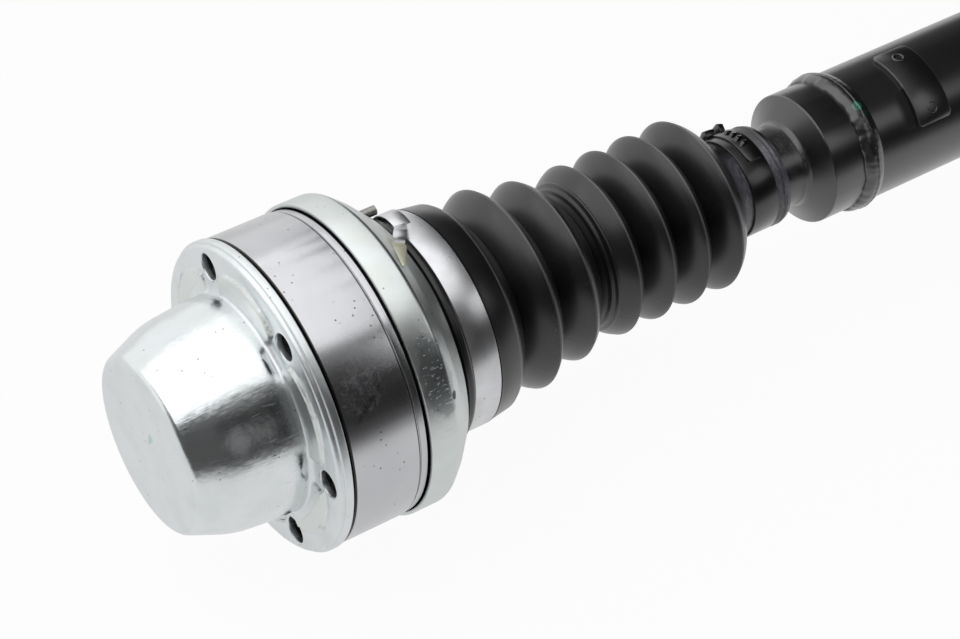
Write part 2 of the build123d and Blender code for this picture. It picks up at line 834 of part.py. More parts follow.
grease_nipple = turned_at(
    [
        (nipple_seat, 0),
        (nipple_seat, nipple_hex_r),
        (nipple_hex_end, nipple_hex_r),
        (nipple_hex_end, nipple_neck_r),
        (nipple_neck_end, nipple_neck_r),
        ((nipple_neck_end + nipple_end) / 2, nipple_head_r),
        (nipple_end, nipple_neck_r / 2),
        (nipple_end, 0),
    ],
    nipple_deg,
)
grease_nipple.label = "grease_nipple"
export_step(grease_nipple, "parts/grease_nipple.step")

# Bearing at each trunnion: cup, needles as one ring, seal and snap ring. The first two sit in the tube yoke.
for number, angle in enumerate((0, 180, 90, 270), start=1):
    y, z = at_angle(1, angle)
    bearing_cup = turned_at(
        [
            (cup_open, needle_outer_r),
            (cup_open, cup_r - cup_edge),
            (cup_open + cup_edge, cup_r),
            (cup_half_span - cup_edge, cup_r),
            (cup_half_span, cup_r - cup_edge),
            (cup_half_span, 0),
            (cup_floor, 0),
            (cup_floor, needle_outer_r),
        ],
        angle,
    )
    needle_ring = turned_at(
        [
            (cup_open + seat_gap, needle_inner_r),
            (cup_open + seat_gap, needle_outer_r - seat_gap),
            (cup_floor - seat_gap, needle_outer_r - seat_gap),
            (cup_floor - seat_gap, needle_inner_r),
        ],
        angle,
    )
    trunnion_seal = turned_at(
        [
            (cup_open - seal_thickness, needle_inner_r),
            (cup_open - seal_thickness, cup_r - 2 * cup_edge),
            (cup_open, cup_r - cup_edge),
            (cup_open, needle_inner_r),
        ],
        angle,
    )
    with BuildPart() as snap_ring:
        ring_plane = Plane(origin=(cross_x, y * cup_half_span, z * cup_half_span), x_dir=(1, 0, 0), z_dir=(0, y, z))
        ring_outer_r = cup_r + snap_ring_bite - seat_gap
        with BuildSketch(ring_plane):
            Circle(ring_outer_r)
            Circle(ring_outer_r - snap_ring_width, mode=Mode.SUBTRACT)
            eye_x = ring_outer_r - snap_ring_width - snap_ring_eye_r / 3
            eye_y = snap_ring_opening / 2 + 0.8 * snap_ring_eye_r
            with Locations((eye_x, eye_y), (eye_x, -eye_y)):
                Circle(snap_ring_eye_r)
                Circle(snap_ring_hole_r, mode=Mode.SUBTRACT)
            with Locations((ring_outer_r, 0)):
                Rectangle(3 * snap_ring_width, snap_ring_opening, mode=Mode.SUBTRACT)
        extrude(amount=snap_ring_thickness)
    for name, piece in (
        ("bearing_cup", bearing_cup),
        ("needle_ring", needle_ring),
        ("trunnion_seal", trunnion_seal),
        ("snap_ring", snap_ring.part),
    ):
        piece.label = f"{name}_{number}"
        export_step(piece, f"parts/{name}_{number}.step")
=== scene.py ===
# Front propeller shaft: its looks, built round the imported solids.
# Metres in the shaft's own frame: +X from the ball joint to the far flange, +Z up. Outlines below are in
# millimetres as (x, radius) pairs, and angles across the shaft run from +Y towards +Z.
import json

import bmesh
import bpy
import numpy as np
from math import acos, atan2, ceil, cos, pi, radians, sin, tan
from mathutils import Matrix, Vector


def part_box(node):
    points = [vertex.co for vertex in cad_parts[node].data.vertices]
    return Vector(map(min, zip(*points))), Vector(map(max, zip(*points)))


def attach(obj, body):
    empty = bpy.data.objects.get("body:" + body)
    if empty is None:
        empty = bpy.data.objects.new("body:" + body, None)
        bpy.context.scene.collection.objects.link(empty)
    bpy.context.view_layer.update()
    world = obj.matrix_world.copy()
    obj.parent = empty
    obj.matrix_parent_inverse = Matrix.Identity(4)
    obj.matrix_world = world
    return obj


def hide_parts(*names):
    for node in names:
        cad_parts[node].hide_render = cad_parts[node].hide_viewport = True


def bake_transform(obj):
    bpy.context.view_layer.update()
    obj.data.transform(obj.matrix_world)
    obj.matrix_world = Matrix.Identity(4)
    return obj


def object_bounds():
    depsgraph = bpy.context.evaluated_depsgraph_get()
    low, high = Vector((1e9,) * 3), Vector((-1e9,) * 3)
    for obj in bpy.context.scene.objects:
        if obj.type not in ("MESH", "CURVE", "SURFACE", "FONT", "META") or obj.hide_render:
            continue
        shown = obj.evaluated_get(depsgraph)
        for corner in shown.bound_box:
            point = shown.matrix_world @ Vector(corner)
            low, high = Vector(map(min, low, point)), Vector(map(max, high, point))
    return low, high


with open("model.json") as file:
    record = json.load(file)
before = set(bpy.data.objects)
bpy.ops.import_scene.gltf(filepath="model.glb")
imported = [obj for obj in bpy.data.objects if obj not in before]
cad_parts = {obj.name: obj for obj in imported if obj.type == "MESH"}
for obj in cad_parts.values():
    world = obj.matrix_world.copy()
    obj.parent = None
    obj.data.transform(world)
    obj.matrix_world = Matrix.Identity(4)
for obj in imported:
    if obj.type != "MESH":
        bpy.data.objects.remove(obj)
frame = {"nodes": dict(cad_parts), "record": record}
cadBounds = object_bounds()
mm = 0.001
crestX = (74.2, 90.0, 105.8, 124.0, 137.3, 150.6, 164.0)  # the boot's ridges
crestR = (34.5, 33.3, 30.2, 28.7, 28.7, 28.8, 28.9)
plate = {
    "x": 250.0,
    "r": 23.9,
    "ends": (76.0, 153.5),
    "width": 14.0,
    "corner": 2.5,
    "sheet": 1.2,
    "spots": ((90.5, 1.75, 0.5), (141.0, 1.7, 0.22)),
    "pits": ((250.0, 90.5, 1.0, 2.4), (250.0, 141.0, 1.5, 3.6)),
}
holeMiddles = ((43.0, 0.0), (21.5, 37.24))  # (y, z) of the ball joint's bolt holes, up to their signs
# Marks on the surfaces: x, angle, half length, half angle, then how ragged the edge is and the scale of its noise
markAt = {
    "capSmear": (-36.0, 118.0, 3.0, 9.0, 0.6, 0.4),
    "ringWorn": (13.0, 146.0, 7.5, 8.0, 0.9, 0.25),
    "ringDots": ((15.0, 96.0, 4.5, 4.0, 0.8, 0.3), (23.0, 118.0, 3.0, 3.0, 0.8, 0.3),
                 (24.0, 131.0, 2.5, 3.0, 0.8, 0.3)),
    "ringStreak": (18.0, 153.0, 9.0, 9.0, 0.5, 0.2),
    "canScuff": (37.0, 152.0, 5.5, 15.0, 0.7, 0.3),
    "canScratch": (37.0, 156.0, 5.0, 22.0, 0.4, 0.3),
    "canChip": (41.2, 160.0, 1.0, 1.6, 0.9, 1.4),
    "canGrease": (46.4, 103.0, 2.4, 6.0, 0.9, 0.5),
    "bootDust": ((90.0, 178.0, 2.6, 26.0, 0.7, 0.4), (105.8, 172.0, 2.6, 26.0, 0.7, 0.4)),
    "neckTurning": (199.0, 128.0, 4.5, 34.0, 0.6, 0.3),
    "weldDab": (223.6, 116.0, 1.7, 4.0, 0.7, 0.9),
    "weldFaint": (225.2, 123.5, 1.2, 3.0, 0.8, 0.9),
    "weldRust": (224.0, 178.0, 4.0, 14.0, 0.9, 0.5),
}
print("frame loaded:", len(frame["nodes"]), "nodes")


class Wire:  # an output socket; sums and products of wires add their Math nodes
    def __init__(self, tree, socket=None):
        self.tree, self.socket = tree, socket

    def node(self, kind, settings=None, sockets=None, out=0):
        made = self.tree.nodes.new("ShaderNode" + kind)
        for name, value in (settings or {}).items():
            setattr(made, name, value)
        for name, value in (sockets or {}).items():
            if isinstance(value, Wire):
                self.tree.links.new(value.socket, made.inputs[name])
            else:
                made.inputs[name].default_value = value
        return Wire(self.tree, made.outputs[out]) if len(made.outputs) else None

    def maths(self, operation, first, second=0.0, third=0.0):
        return self.node("Math", {"operation": operation}, {0: first, 1: second, 2: third})

    def __add__(self, other):
        return self.maths("ADD", self, other)

    def __radd__(self, other):
        return self.maths("ADD", other, self)

    def __sub__(self, other):
        return self.maths("SUBTRACT", self, other)

    def __rsub__(self, other):
        return self.maths("SUBTRACT", other, self)

    def __mul__(self, other):
        return self.maths("MULTIPLY", self, other)

    def __rmul__(self, other):
        return self.maths("MULTIPLY", other, self)

    def __truediv__(self, other):
        return self.maths("DIVIDE", self, other)

    def __pow__(self, other):
        return self.maths("POWER", self, other)

    def clip(self):
        return self.node("Clamp", None, {0: self})

    def step(self, low, high):  # 0 at low, 1 at high, smooth between
        return self.node(
            "MapRange", {"interpolation_type": "SMOOTHSTEP"}, {"Value": self, "From Min": low, "From Max": high}
        )

    def noise(self, scale=1.0, detail=2.0, rough=0.5):
        return self.node("TexNoise", None, {"Vector": self, "Scale": scale, "Detail": detail, "Roughness": rough})

    def cells(self, scale, random=1.0):
        return self.node("TexVoronoi", None, {"Vector": self, "Scale": scale, "Randomness": random})

    def mix(self, first, second):  # a colour, first where this mask is 0 and second where it is 1
        return self.node("Mix", {"data_type": "RGBA"}, {0: self, 6: first, 7: second}, out=2)


class Surface:  # the places that patterns are laid by, all in millimetres
    def __init__(self, name):
        self.finish = bpy.data.materials.new(name)
        self.finish.use_nodes = True
        tree = self.finish.node_tree
        tree.nodes.clear()
        self.start = Wire(tree)
        place = self.start.node("TexCoord", out="Object")
        self.point = self.start.node("VectorMath", {"operation": "SCALE"}, {0: place, "Scale": 1 / mm})
        parts = [self.start.node("SeparateXYZ", None, {0: self.point}, out=k) for k in range(3)]
        self.x, self.y, self.z = parts
        self.radius = (self.y * self.y + self.z * self.z) ** 0.5
        self.acrossY, self.acrossZ = self.y / self.radius, self.z / self.radius

    def along(self, xScale, turnScale, rScale=0.0):
        # a place whose second and third parts go round the shaft, with no seam
        return self.start.node(
            "CombineXYZ",
            None,
            {0: self.x * xScale + self.radius * rScale, 1: self.acrossY * turnScale, 2: self.acrossZ * turnScale},
        )

    def facing(self, angleDeg):  # the distance round the shaft from this angle, as a chord at radius 1
        towards = self.acrossY * cos(radians(angleDeg)) + self.acrossZ * sin(radians(angleDeg))
        return (2.0 - 2.0 * towards).maths("MAXIMUM", 2.0 - 2.0 * towards, 0.0) ** 0.5

    def spot(self, x, angleDeg, halfLength, halfDeg, ragged=0.0, scale=1.0):
        # 1 inside an ellipse on the surface, 0 outside, with a ragged edge
        lengthwise = (self.x - x) / halfLength
        turnwise = self.facing(angleDeg) / radians(halfDeg)
        away = (lengthwise * lengthwise + turnwise * turnwise) ** 0.5
        if ragged:
            away = away + (self.point.noise(scale, 3.0) - 0.5) * ragged
        return away.step(1.1, 0.8)

    def spots(self, rows):
        total = self.spot(*rows[0])
        for row in rows[1:]:
            total = total + self.spot(*row)
        return total

    def holeMask(self, radius):  # 1 within this radius of the middle of a bolt hole of the ball joint
        away = None
        for y, z in holeMiddles:
            across, up = self.y.maths("ABSOLUTE", self.y) - y, self.z.maths("ABSOLUTE", self.z) - z
            square = across * across + up * up
            away = square if away is None else away.maths("MINIMUM", away, square)
        return (away ** 0.5).step(radius, radius - 0.4)

    def close(self, colour, rough, metal=0.0, bumps=(), **plain):
        sockets = {"Base Color": colour, "Roughness": rough, "Metallic": metal, **plain}
        for height, depth in bumps:
            bump = {"Height": height, "Distance": depth * mm, "Strength": 1.0}
            if "Normal" in sockets:
                bump["Normal"] = sockets["Normal"]
            sockets["Normal"] = self.start.node("Bump", None, bump)
        shader = self.start.node("BsdfPrincipled", None, sockets)
        self.start.node("OutputMaterial", None, {"Surface": shader})
        return self.finish


def grey(value, blue=1.0):
    return (value, value, value * blue, 1.0)


def zincCapFinish():
    s = Surface("zincCap")
    drawn = s.along(0.16, 60.0).noise(1.0, 3.0, 0.6)  # lines along the draw
    grain = s.point.noise(4.0, 3.0, 0.65)
    cloud = s.point.noise(0.09, 3.0, 0.6)
    onDome = s.x.step(-1.6, -4.0)
    onEnd = s.x.step(-35.2, -35.9)
    polished = onDome * (1.0 - onEnd)
    scuffs = drawn.step(0.58, 0.70) * polished * s.x.step(-26.0, -10.0)
    rough = 0.36 - 0.15 * polished + 0.05 * (grain - 0.5) + 0.12 * (cloud - 0.5) + 0.16 * scuffs
    base = cloud.step(0.35, 0.7).mix((0.82, 0.855, 0.87, 1), (0.78, 0.815, 0.82, 1))
    inPads = s.x.step(-0.45, -0.75) * s.radius.step(37.0, 38.5)
    base = (inPads * 0.5).mix(base, (0.78, 0.82, 0.77, 1))
    specks = s.point.cells(0.35).step(0.13, 0.05) * s.point.noise(0.2, 1.0).step(0.53, 0.60)
    base = (specks * 0.75).mix(base, (0.16, 0.17, 0.18, 1))
    smear = s.spot(*markAt["capSmear"]) * s.radius.step(3.0, 4.0) * s.radius.step(9.0, 7.5)
    base = (smear * 0.45).mix(base, (0.28, 0.55, 0.47, 1))
    return s.close(base, rough.clip(), 1.0, [(drawn, 0.02), (grain, 0.012), (cloud, 0.25)])


def groundSteelFinish():
    s = Surface("groundSteel")
    grind = s.along(9.0, 3.0, 9.0).noise(1.0, 2.0, 0.6)
    fine = s.along(30.0, 8.0, 30.0).noise(1.0, 1.0)
    cloud = s.along(0.05, 1.6).noise(1.0, 2.0)
    base = cloud.step(0.3, 0.7).mix((0.575, 0.58, 0.60, 1), (0.63, 0.635, 0.655, 1))
    worn = s.spot(*markAt["ringWorn"])
    pits = s.point.cells(0.75).step(0.22, 0.10) * worn
    lone = s.spots(markAt["ringDots"]) + s.point.noise(0.11, 1.0).step(0.56, 0.62)
    dots = s.point.cells(0.42).step(0.16, 0.07) * lone.clip()
    stain = worn * s.point.noise(0.5, 3.0, 0.7).step(0.42, 0.66)
    base = (stain * 0.45).mix(base, (0.20, 0.20, 0.21, 1))
    base = ((pits + dots).clip() * 0.9).mix(base, (0.07, 0.07, 0.07, 1))
    line = s.x - 12.0 - 62.0 * (s.facing(162.0) - 0.16)
    streak = (line * line).step(2.2, 0.2) * s.spot(*markAt["ringStreak"])
    base = (streak * 0.5).mix(base, (0.30, 0.24, 0.16, 1))
    # painted shade: the race's rear groove is painted near black, besides the bump that cuts it in
    groove = s.x.step(27.15, 27.3) * s.x.step(27.75, 27.6)
    base = (groove * 0.9).mix(base, (0.05, 0.05, 0.05, 1))
    # painted shade: a near-black band at the race's front edge, where the cap's skirt meets it
    base = (s.x.step(5.75, 5.5) * 0.95).mix(base, (0.02, 0.018, 0.015, 1))
    # painted shade: the walls of the bolt holes are painted near black
    inner = s.radius.step(48.0, 47.0)
    base = (s.holeMask(4.6) * inner * 0.97).mix(base, (0.02, 0.02, 0.02, 1))
    rough = 0.22 + 0.12 * (grind - 0.5) + 0.10 * (fine - 0.5) + 0.25 * pits + 0.15 * stain
    return s.close(base, rough.clip(), 1.0, [(grind, 0.006), (fine, 0.003), (1.0 - groove, 0.12)])


def zincCanFinish():
    s = Surface("zincCan")
    grain = s.point.noise(3.5, 3.0, 0.6)
    cloud = s.point.noise(0.12, 3.0, 0.6)
    drawn = s.along(5.0, 3.0, 5.0).noise(1.0, 2.0, 0.6)
    base = cloud.step(0.3, 0.7).mix((0.71, 0.755, 0.75, 1), (0.70, 0.73, 0.71, 1))
    scuffed = s.spot(*markAt["canScuff"])
    base = (scuffed * 0.6).mix(base, (0.30, 0.33, 0.35, 1))
    scratch = s.along(0.5, 70.0).noise(1.0, 2.0, 0.6).step(0.62, 0.66) * s.spot(*markAt["canScratch"])
    base = (scratch * 0.7).mix(base, (0.85, 0.88, 0.9, 1))
    specks = s.point.cells(0.3).step(0.10, 0.05) * s.point.noise(0.17, 1.0).step(0.50, 0.58)
    base = (specks * 0.8).mix(base, (0.08, 0.08, 0.09, 1))
    chip = s.spot(*markAt["canChip"])
    base = chip.mix(base, (0.01, 0.01, 0.012, 1))
    grease = s.spot(*markAt["canGrease"])
    base = (grease * 0.55).mix(base, (0.62, 0.60, 0.42, 1))
    rough = 0.33 + 0.14 * (cloud - 0.5) + 0.06 * (grain - 0.5) + 0.1 * scratch + 0.1 * grease
    return s.close(base, rough.clip(), 1.0 - chip, [(grain, 0.012), (scratch, 0.02), (drawn, 0.008)])


def stainlessFinish():
    s = Surface("stainless")
    lines = s.along(14.0, 5.0, 14.0).noise(1.0, 2.0, 0.6)
    cloud = s.point.noise(0.16, 2.0)
    base = cloud.step(0.3, 0.7).mix((0.74, 0.745, 0.77, 1), (0.67, 0.675, 0.69, 1))
    dots = s.point.cells(0.3).step(0.10, 0.04) * s.point.noise(0.2, 1.0).step(0.5, 0.6)
    base = (dots * 0.8).mix(base, (0.08, 0.08, 0.08, 1))
    return s.close(base, (0.30 + 0.14 * (lines - 0.5) + 0.1 * (cloud - 0.5)).clip(), 1.0, [(lines, 0.006)])


def rubberFinish():
    s = Surface("rubber")
    pores = s.point.noise(5.0, 2.0, 0.6)
    cloud = s.point.noise(0.10, 3.0, 0.6)
    smeared = s.along(1.2, 9.0).noise(1.0, 3.0, 0.65)
    grains = s.point.noise(1.9, 3.0, 0.7).step(0.60, 0.70)
    low = s.spots(markAt["bootDust"])
    dust = grains * (low + s.point.noise(0.06, 1.0).step(0.60, 0.70) * 0.3).clip()
    # the cuff's front side is painted lighter grey: dusty streaks, together with a painted sheen on the side the light
    # reaches
    cuffDustAndSheen = s.x.step(168.0, 173.0) * s.facing(150.0).step(1.0, 0.6)
    greyed = (0.06 * cloud + cuffDustAndSheen * (0.5 + 0.5 * smeared.step(0.42, 0.62))).clip()
    base = greyed.mix(grey(0.0012, 1.3), grey(0.13, 1.2))
    base = (dust * 0.5).mix(base, grey(0.38))
    # painted highlight: a lighter grey line along each crest of the boot
    crestHighlight = 0.0
    for crest in crestX:
        crestHighlight = s.x.step(crest - 0.55, crest - 0.25) * s.x.step(crest + 0.55, crest + 0.25) + crestHighlight
    base = (crestHighlight * (0.35 + 0.5 * cloud)).clip().mix(base, grey(0.13, 1.1))
    seam = s.y * sin(radians(197.0)) - s.z * cos(radians(197.0))  # millimetres to the side of the mould's parting
    seam = (seam * seam).step(0.06, 0.01) * s.x.step(70.0, 74.0) * s.x.step(173.0, 170.0)
    base = (seam * 0.8).mix(base, grey(0.001))
    rough = 0.33 + 0.14 * (cloud - 0.5) + 0.25 * dust + 0.12 * cuffDustAndSheen
    plain = {"Specular IOR Level": 0.45, "Coat Weight": 0.7, "Coat Roughness": 0.34}
    return s.close(base, rough.clip(), 0.0, [(pores, 0.008), (1.0 - seam, 0.12)], **plain)


def blackPaintFinish(name, grit=0.02, scale=2.2):
    s = Surface(name)
    peel = s.point.noise(scale, 3.0, 0.6)
    cloud = s.point.noise(0.10, 3.0, 0.6)
    base = cloud.step(0.3, 0.7).mix(grey(0.0008, 1.3), grey(0.003, 1.3))
    worn = s.point.noise(0.9, 4.0, 0.7).step(0.70, 0.78) * s.point.noise(0.07, 1.0).step(0.5, 0.6)
    base = (worn * 0.2).mix(base, grey(0.10))
    turning = s.along(2.6, 0.0).noise(1.0, 2.0, 0.7).step(0.50, 0.62)
    broken = s.along(0.5, 7.0).noise(1.0, 2.0).step(0.38, 0.6)
    marks = turning * broken * s.spot(*markAt["neckTurning"]) * s.radius.step(17.0, 16.0)
    base = (marks * 0.5).mix(base, grey(0.24, 1.1))
    if name == "platePaint":
        # painted highlight: the plate's edges are painted a lighter grey
        rim = s.x.step(243.5, 243.2) + s.x.step(256.5, 256.8) + s.facing(114.75).step(0.665, 0.672)
        base = (rim.clip() * 0.55 * s.radius.step(23.7, 23.85)).mix(base, grey(0.14, 1.1))
        pits = s.spots(plate["pits"])
        base = (pits.clip() * 0.95).mix(base, grey(0.001))
    if name == "tubePaint":
        dab = s.spot(*markAt["weldDab"])
        base = (dab * (0.55 + 0.45 * s.point.noise(1.4, 3.0).step(0.35, 0.6))).mix(base, (0.015, 0.20, 0.13, 1))
        faint = s.spot(*markAt["weldFaint"])
        base = (faint * 0.3).mix(base, (0.01, 0.08, 0.05, 1))
        rust = s.spot(*markAt["weldRust"]) * s.point.noise(1.3, 3.0, 0.7).step(0.50, 0.66)
        base = (rust * 0.5).mix(base, (0.09, 0.035, 0.02, 1))
    rough = 0.34 + 0.08 * (cloud - 0.5) + 0.10 * (peel - 0.5)
    # a dull patch in front of the balance plate stands in for the plate's dark reflection; it is no real mark
    dulled = s.x.step(237.0, 240.5) * s.x.step(243.6, 243.1) * s.facing(134.0).step(0.32, 0.26)
    shine = 1.0 - 0.95 * dulled
    rough = rough + 0.4 * dulled
    plain = {"Specular IOR Level": 0.5, "Coat Weight": shine, "Coat Roughness": 0.28, "Coat IOR": 1.75}
    return s.close(base, rough.clip(), 0.0, [(peel, grit), (marks, 0.03)], **plain)


def clampBlackFinish():
    s = Surface("clampBlack")
    lines = s.along(10.0, 5.0).noise(1.0, 2.0)
    cloud = s.point.noise(0.3, 2.0)
    base = cloud.step(0.4, 0.7).mix(grey(0.001, 1.3), grey(0.004, 1.2))
    plain = {"Coat Weight": 0.9, "Coat Roughness": 0.22}
    return s.close(base, (0.30 + 0.12 * (lines - 0.5)).clip(), 0.0, [(lines, 0.004)], **plain)


def steelFinish(name, colour, rough, metal=1.0, grit=0.006):
    s = Surface(name)
    grain = s.point.noise(3.0, 3.0, 0.6)
    cloud = s.point.noise(0.12, 2.0)
    darker = tuple(0.8 * part for part in colour[:3]) + (1.0,)
    base = cloud.step(0.3, 0.7).mix(colour, darker)
    return s.close(base, (rough + 0.12 * (grain - 0.5) + 0.1 * (cloud - 0.5)).clip(), metal, [(grain, grit)])


finishes = {
    "zincCap": zincCapFinish(),
    "groundSteel": groundSteelFinish(),
    "zincCan": zincCanFinish(),
    "stainless": stainlessFinish(),
    "rubber": rubberFinish(),
    "tubePaint": blackPaintFinish("tubePaint"),
    "forgePaint": blackPaintFinish("forgePaint", 0.06, 1.1),
    "platePaint": blackPaintFinish("platePaint"),
    "clampBlack": clampBlackFinish(),
    "pinSteel": steelFinish("pinSteel", (0.42, 0.41, 0.39, 1), 0.34),
    "foldedTip": steelFinish("foldedTip", (0.66, 0.65, 0.50, 1), 0.45, 0.6),
    "machined": steelFinish("machined", (0.58, 0.58, 0.58, 1), 0.30),
    "bearing": steelFinish("bearing", (0.72, 0.72, 0.73, 1), 0.12),
    "darkSteel": steelFinish("darkSteel", (0.16, 0.16, 0.17, 1), 0.34),
    "yellowPlate": steelFinish("yellowPlate", (0.66, 0.55, 0.30, 1), 0.30),
    "gasket": steelFinish("gasket", (0.02, 0.02, 0.02, 1), 0.7, 0.0),
}
slotFinish = {
    "zinc_plate": "zincCan",
    "ground_steel": "groundSteel",
    "machined_steel": "machined",
    "ball_steel": "bearing",
    "dark_steel": "darkSteel",
    "stainless": "stainless",
    "black_clamp": "clampBlack",
    "black_paint": "tubePaint",
    "rubber": "rubber",
    "gasket": "gasket",
    "brass_plated": "yellowPlate",
}
print("finishes ready:", len(finishes))


def unit(vector):
    return vector / np.linalg.norm(vector)


def rounded(points, radii, closed=False, stepDeg=9.0):
    # The line through these corners, with each corner replaced by the arc of its radius that touches both sides.
    points = np.array(points, float)
    count = len(points)
    corners = range(count) if closed else range(1, count - 1)
    line = [] if closed else [points[:1]]
    for k, radius in zip(corners, radii):
        corner = points[k]
        back, on = unit(points[k - 1] - corner), unit(points[(k + 1) % count] - corner)
        half = 0.5 * acos(np.clip(back @ on, -1, 1))
        if radius <= 0 or half > 0.5 * pi - 1e-4:
            line.append(corner[None])
            continue
        centre = corner + unit(back + on) * radius / sin(half)
        first = corner + back * radius / tan(half) - centre
        turn = pi - 2 * half
        side = 1 if back[0] * on[1] - back[1] * on[0] < 0 else -1
        steps = max(2, ceil(np.degrees(turn) / stepDeg))
        angles = atan2(first[1], first[0]) + side * np.linspace(0, turn, steps + 1)
        line.append(centre + radius * np.stack([np.cos(angles), np.sin(angles)], 1))
    if not closed:
        line.append(points[-1:])
    return np.concatenate(line)


def beside(line, distance):
    # The line shifted by distance to the right of its direction, each point along the mean of its two normals.
    ahead = np.diff(line, axis=0)
    normal = np.stack([ahead[:, 1], -ahead[:, 0]], 1)
    normal /= np.linalg.norm(normal, axis=1)[:, None]
    mean = np.concatenate([normal[:1], normal[:-1] + normal[1:], normal[-1:]])
    length = np.linalg.norm(mean, axis=1)[:, None]
    mean[1:-1] *= 2 / length[1:-1] ** 2  # a mitre, so the wall keeps its thickness at a corner
    return line + mean * distance


def dense(line, step):
    # The same line with points added so that none is further than step from the next.
    pieces = [
        a + (b - a) * np.linspace(0, 1, max(1, ceil(np.linalg.norm(b - a) / step)), endpoint=False)[:, None]
        for a, b in zip(line[:-1], line[1:])
    ]
    return np.concatenate([*pieces, line[-1:]])


def walled(line, sheet, edge):
    # A closed outline of a sheet whose outer face is this line, its two ends rounded by edge.
    inner = beside(line, sheet)[::-1]
    loop = np.concatenate([line, inner])
    radii = np.zeros(len(loop))
    radii[[0, len(line) - 1, len(line), len(loop) - 1]] = edge
    return rounded(loop, radii, closed=True, stepDeg=30.0)


def gridFaces(rows, columns, wrapRows, wrapColumns, first):
    index = first + np.arange(rows * columns).reshape(rows, columns)
    if wrapRows:
        index = np.vstack([index, index[:1]])
    if wrapColumns:
        index = np.hstack([index, index[:, :1]])
    return np.stack([index[:-1, :-1], index[1:, :-1], index[1:, 1:], index[:-1, 1:]], -1).reshape(-1, 4)


def meshFrom(name, grids, sharpDeg=40.0):
    # One closed mesh from grids of points (rows, columns, 3) in millimetres, each with its two wrap flags.
    # Points that meet are merged, open ends are filled, and all faces turn outwards.
    points, faces, first = [], [], 0
    for grid, wrapRows, wrapColumns in grids:
        points.append(grid.reshape(-1, 3) * mm)
        faces.append(gridFaces(grid.shape[0], grid.shape[1], wrapRows, wrapColumns, first))
        first += grid.shape[0] * grid.shape[1]
    mesh = bpy.data.meshes.new(name)
    mesh.from_pydata(np.concatenate(points).tolist(), [], np.concatenate(faces).tolist())
    work = bmesh.new()
    work.from_mesh(mesh)
    bmesh.ops.remove_doubles(work, verts=work.verts, dist=2e-6)
    bmesh.ops.dissolve_degenerate(work, edges=work.edges, dist=1e-7)
    bmesh.ops.holes_fill(work, edges=[edge for edge in work.edges if edge.is_boundary])
    bmesh.ops.recalc_face_normals(work, faces=work.faces)
    work.to_mesh(mesh)
    work.free()
    mesh.shade_smooth()
    mesh.set_sharp_from_angle(angle=radians(sharpDeg))
    return mesh


def spun(line, turns=240, shape=None):
    # A grid: outline point k and angle a give (x, r cos a, r sin a). shape(x, r, a) may shift x and r first.
    angles = np.arange(turns) * 2 * pi / turns
    x = np.repeat(line[:, :1], turns, 1)
    r = np.repeat(line[:, 1:], turns, 1)
    a = np.repeat(angles[None], len(line), 0)
    if shape:
        x, r = shape(x, r, a)
    return np.stack([x, r * np.cos(a), r * np.sin(a)], -1)


def place(name, mesh, body, finish, slot, stands=()):
    piece = bpy.data.objects.new(name, mesh)
    bpy.context.scene.collection.objects.link(piece)
    piece.data.materials.append(finishes[finish])
    if isinstance(body, str):
        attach(piece, body)
    else:
        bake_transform(piece)
    if stands:
        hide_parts(*stands)
    return piece


def bodyOf(node):
    return next(body for body, nodes in frame["record"]["behaviour"]["bodies"].items() if node in nodes)


def slotOf(node):
    return next(part["material_slot"] for part in frame["record"]["subparts"] if part["node"] == node)


def smoothed(node, finish=None, sharpDeg=32.0):
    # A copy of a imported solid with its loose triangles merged, shaded smooth up to sharpDeg.
    mesh = frame["nodes"][node].data.copy()
    work = bmesh.new()
    work.from_mesh(mesh)
    bmesh.ops.remove_doubles(work, verts=work.verts, dist=1e-6)
    bmesh.ops.dissolve_degenerate(work, edges=work.edges, dist=1e-7)
    bmesh.ops.recalc_face_normals(work, faces=work.faces)
    work.to_mesh(mesh)
    work.free()
    mesh.materials.clear()
    mesh.shade_smooth()
    mesh.set_sharp_from_angle(angle=radians(sharpDeg))
    slot = slotOf(node)
    piece = place(node + "_finished", mesh, bodyOf(node), finish or slotFinish[slot], slot, [node])
    weighted = piece.modifiers.new("evenShading", "WEIGHTED_NORMAL")
    weighted.keep_sharp = True
    weighted.weight = 100
    return piece


def smooth01(value):
    value = np.clip(value, 0, 1)
    return value * value * (3 - 2 * value)


# Grease cap: dome, flange with its holes and pads, rolled rim
cap = {
    "sheet": 2.0,
    "endX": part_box("grease_cap")[0].x / mm,
    "cornerR": 28.2,
    "side": (-22.0, 33.9),
    "neckX": -8.0,
    "baseR": 35.3,
    "rounds": (3.0, 30.0, 60.0, 2.4),
    "flangeIn": 38.4,
    "flangeOut": 47.7,
    "rimR": 50.5,
    "stepR": 49.6,
    "stepX": 1.6,
    "skirtX": 4.3,
    "boltCircle": 86.0,
    "holes": 6,
    "holeR": 4.3,
    "holeEdge": 0.5,
    "padHalfDeg": 23.5,
    "padReach": (39.2, 44.6),
    "padEdge": 0.8,
    "padHeight": 1.15,
}


def padHeight(r, a):
    # A crescent between two holes: full height inside, falling to nothing past its outer arc and at its two ends.
    pitch = 2 * pi / cap["holes"]
    off = np.degrees(np.abs((a % pitch) - pitch / 2)) / cap["padHalfDeg"]
    reach = cap["padReach"][0] + (cap["padReach"][1] - cap["padReach"][0]) * np.sqrt(1 - np.clip(off, 0, 1) ** 2)
    return cap["padHeight"] * smooth01((reach - r) / cap["padEdge"]) * smooth01((1 - off) / 0.10)


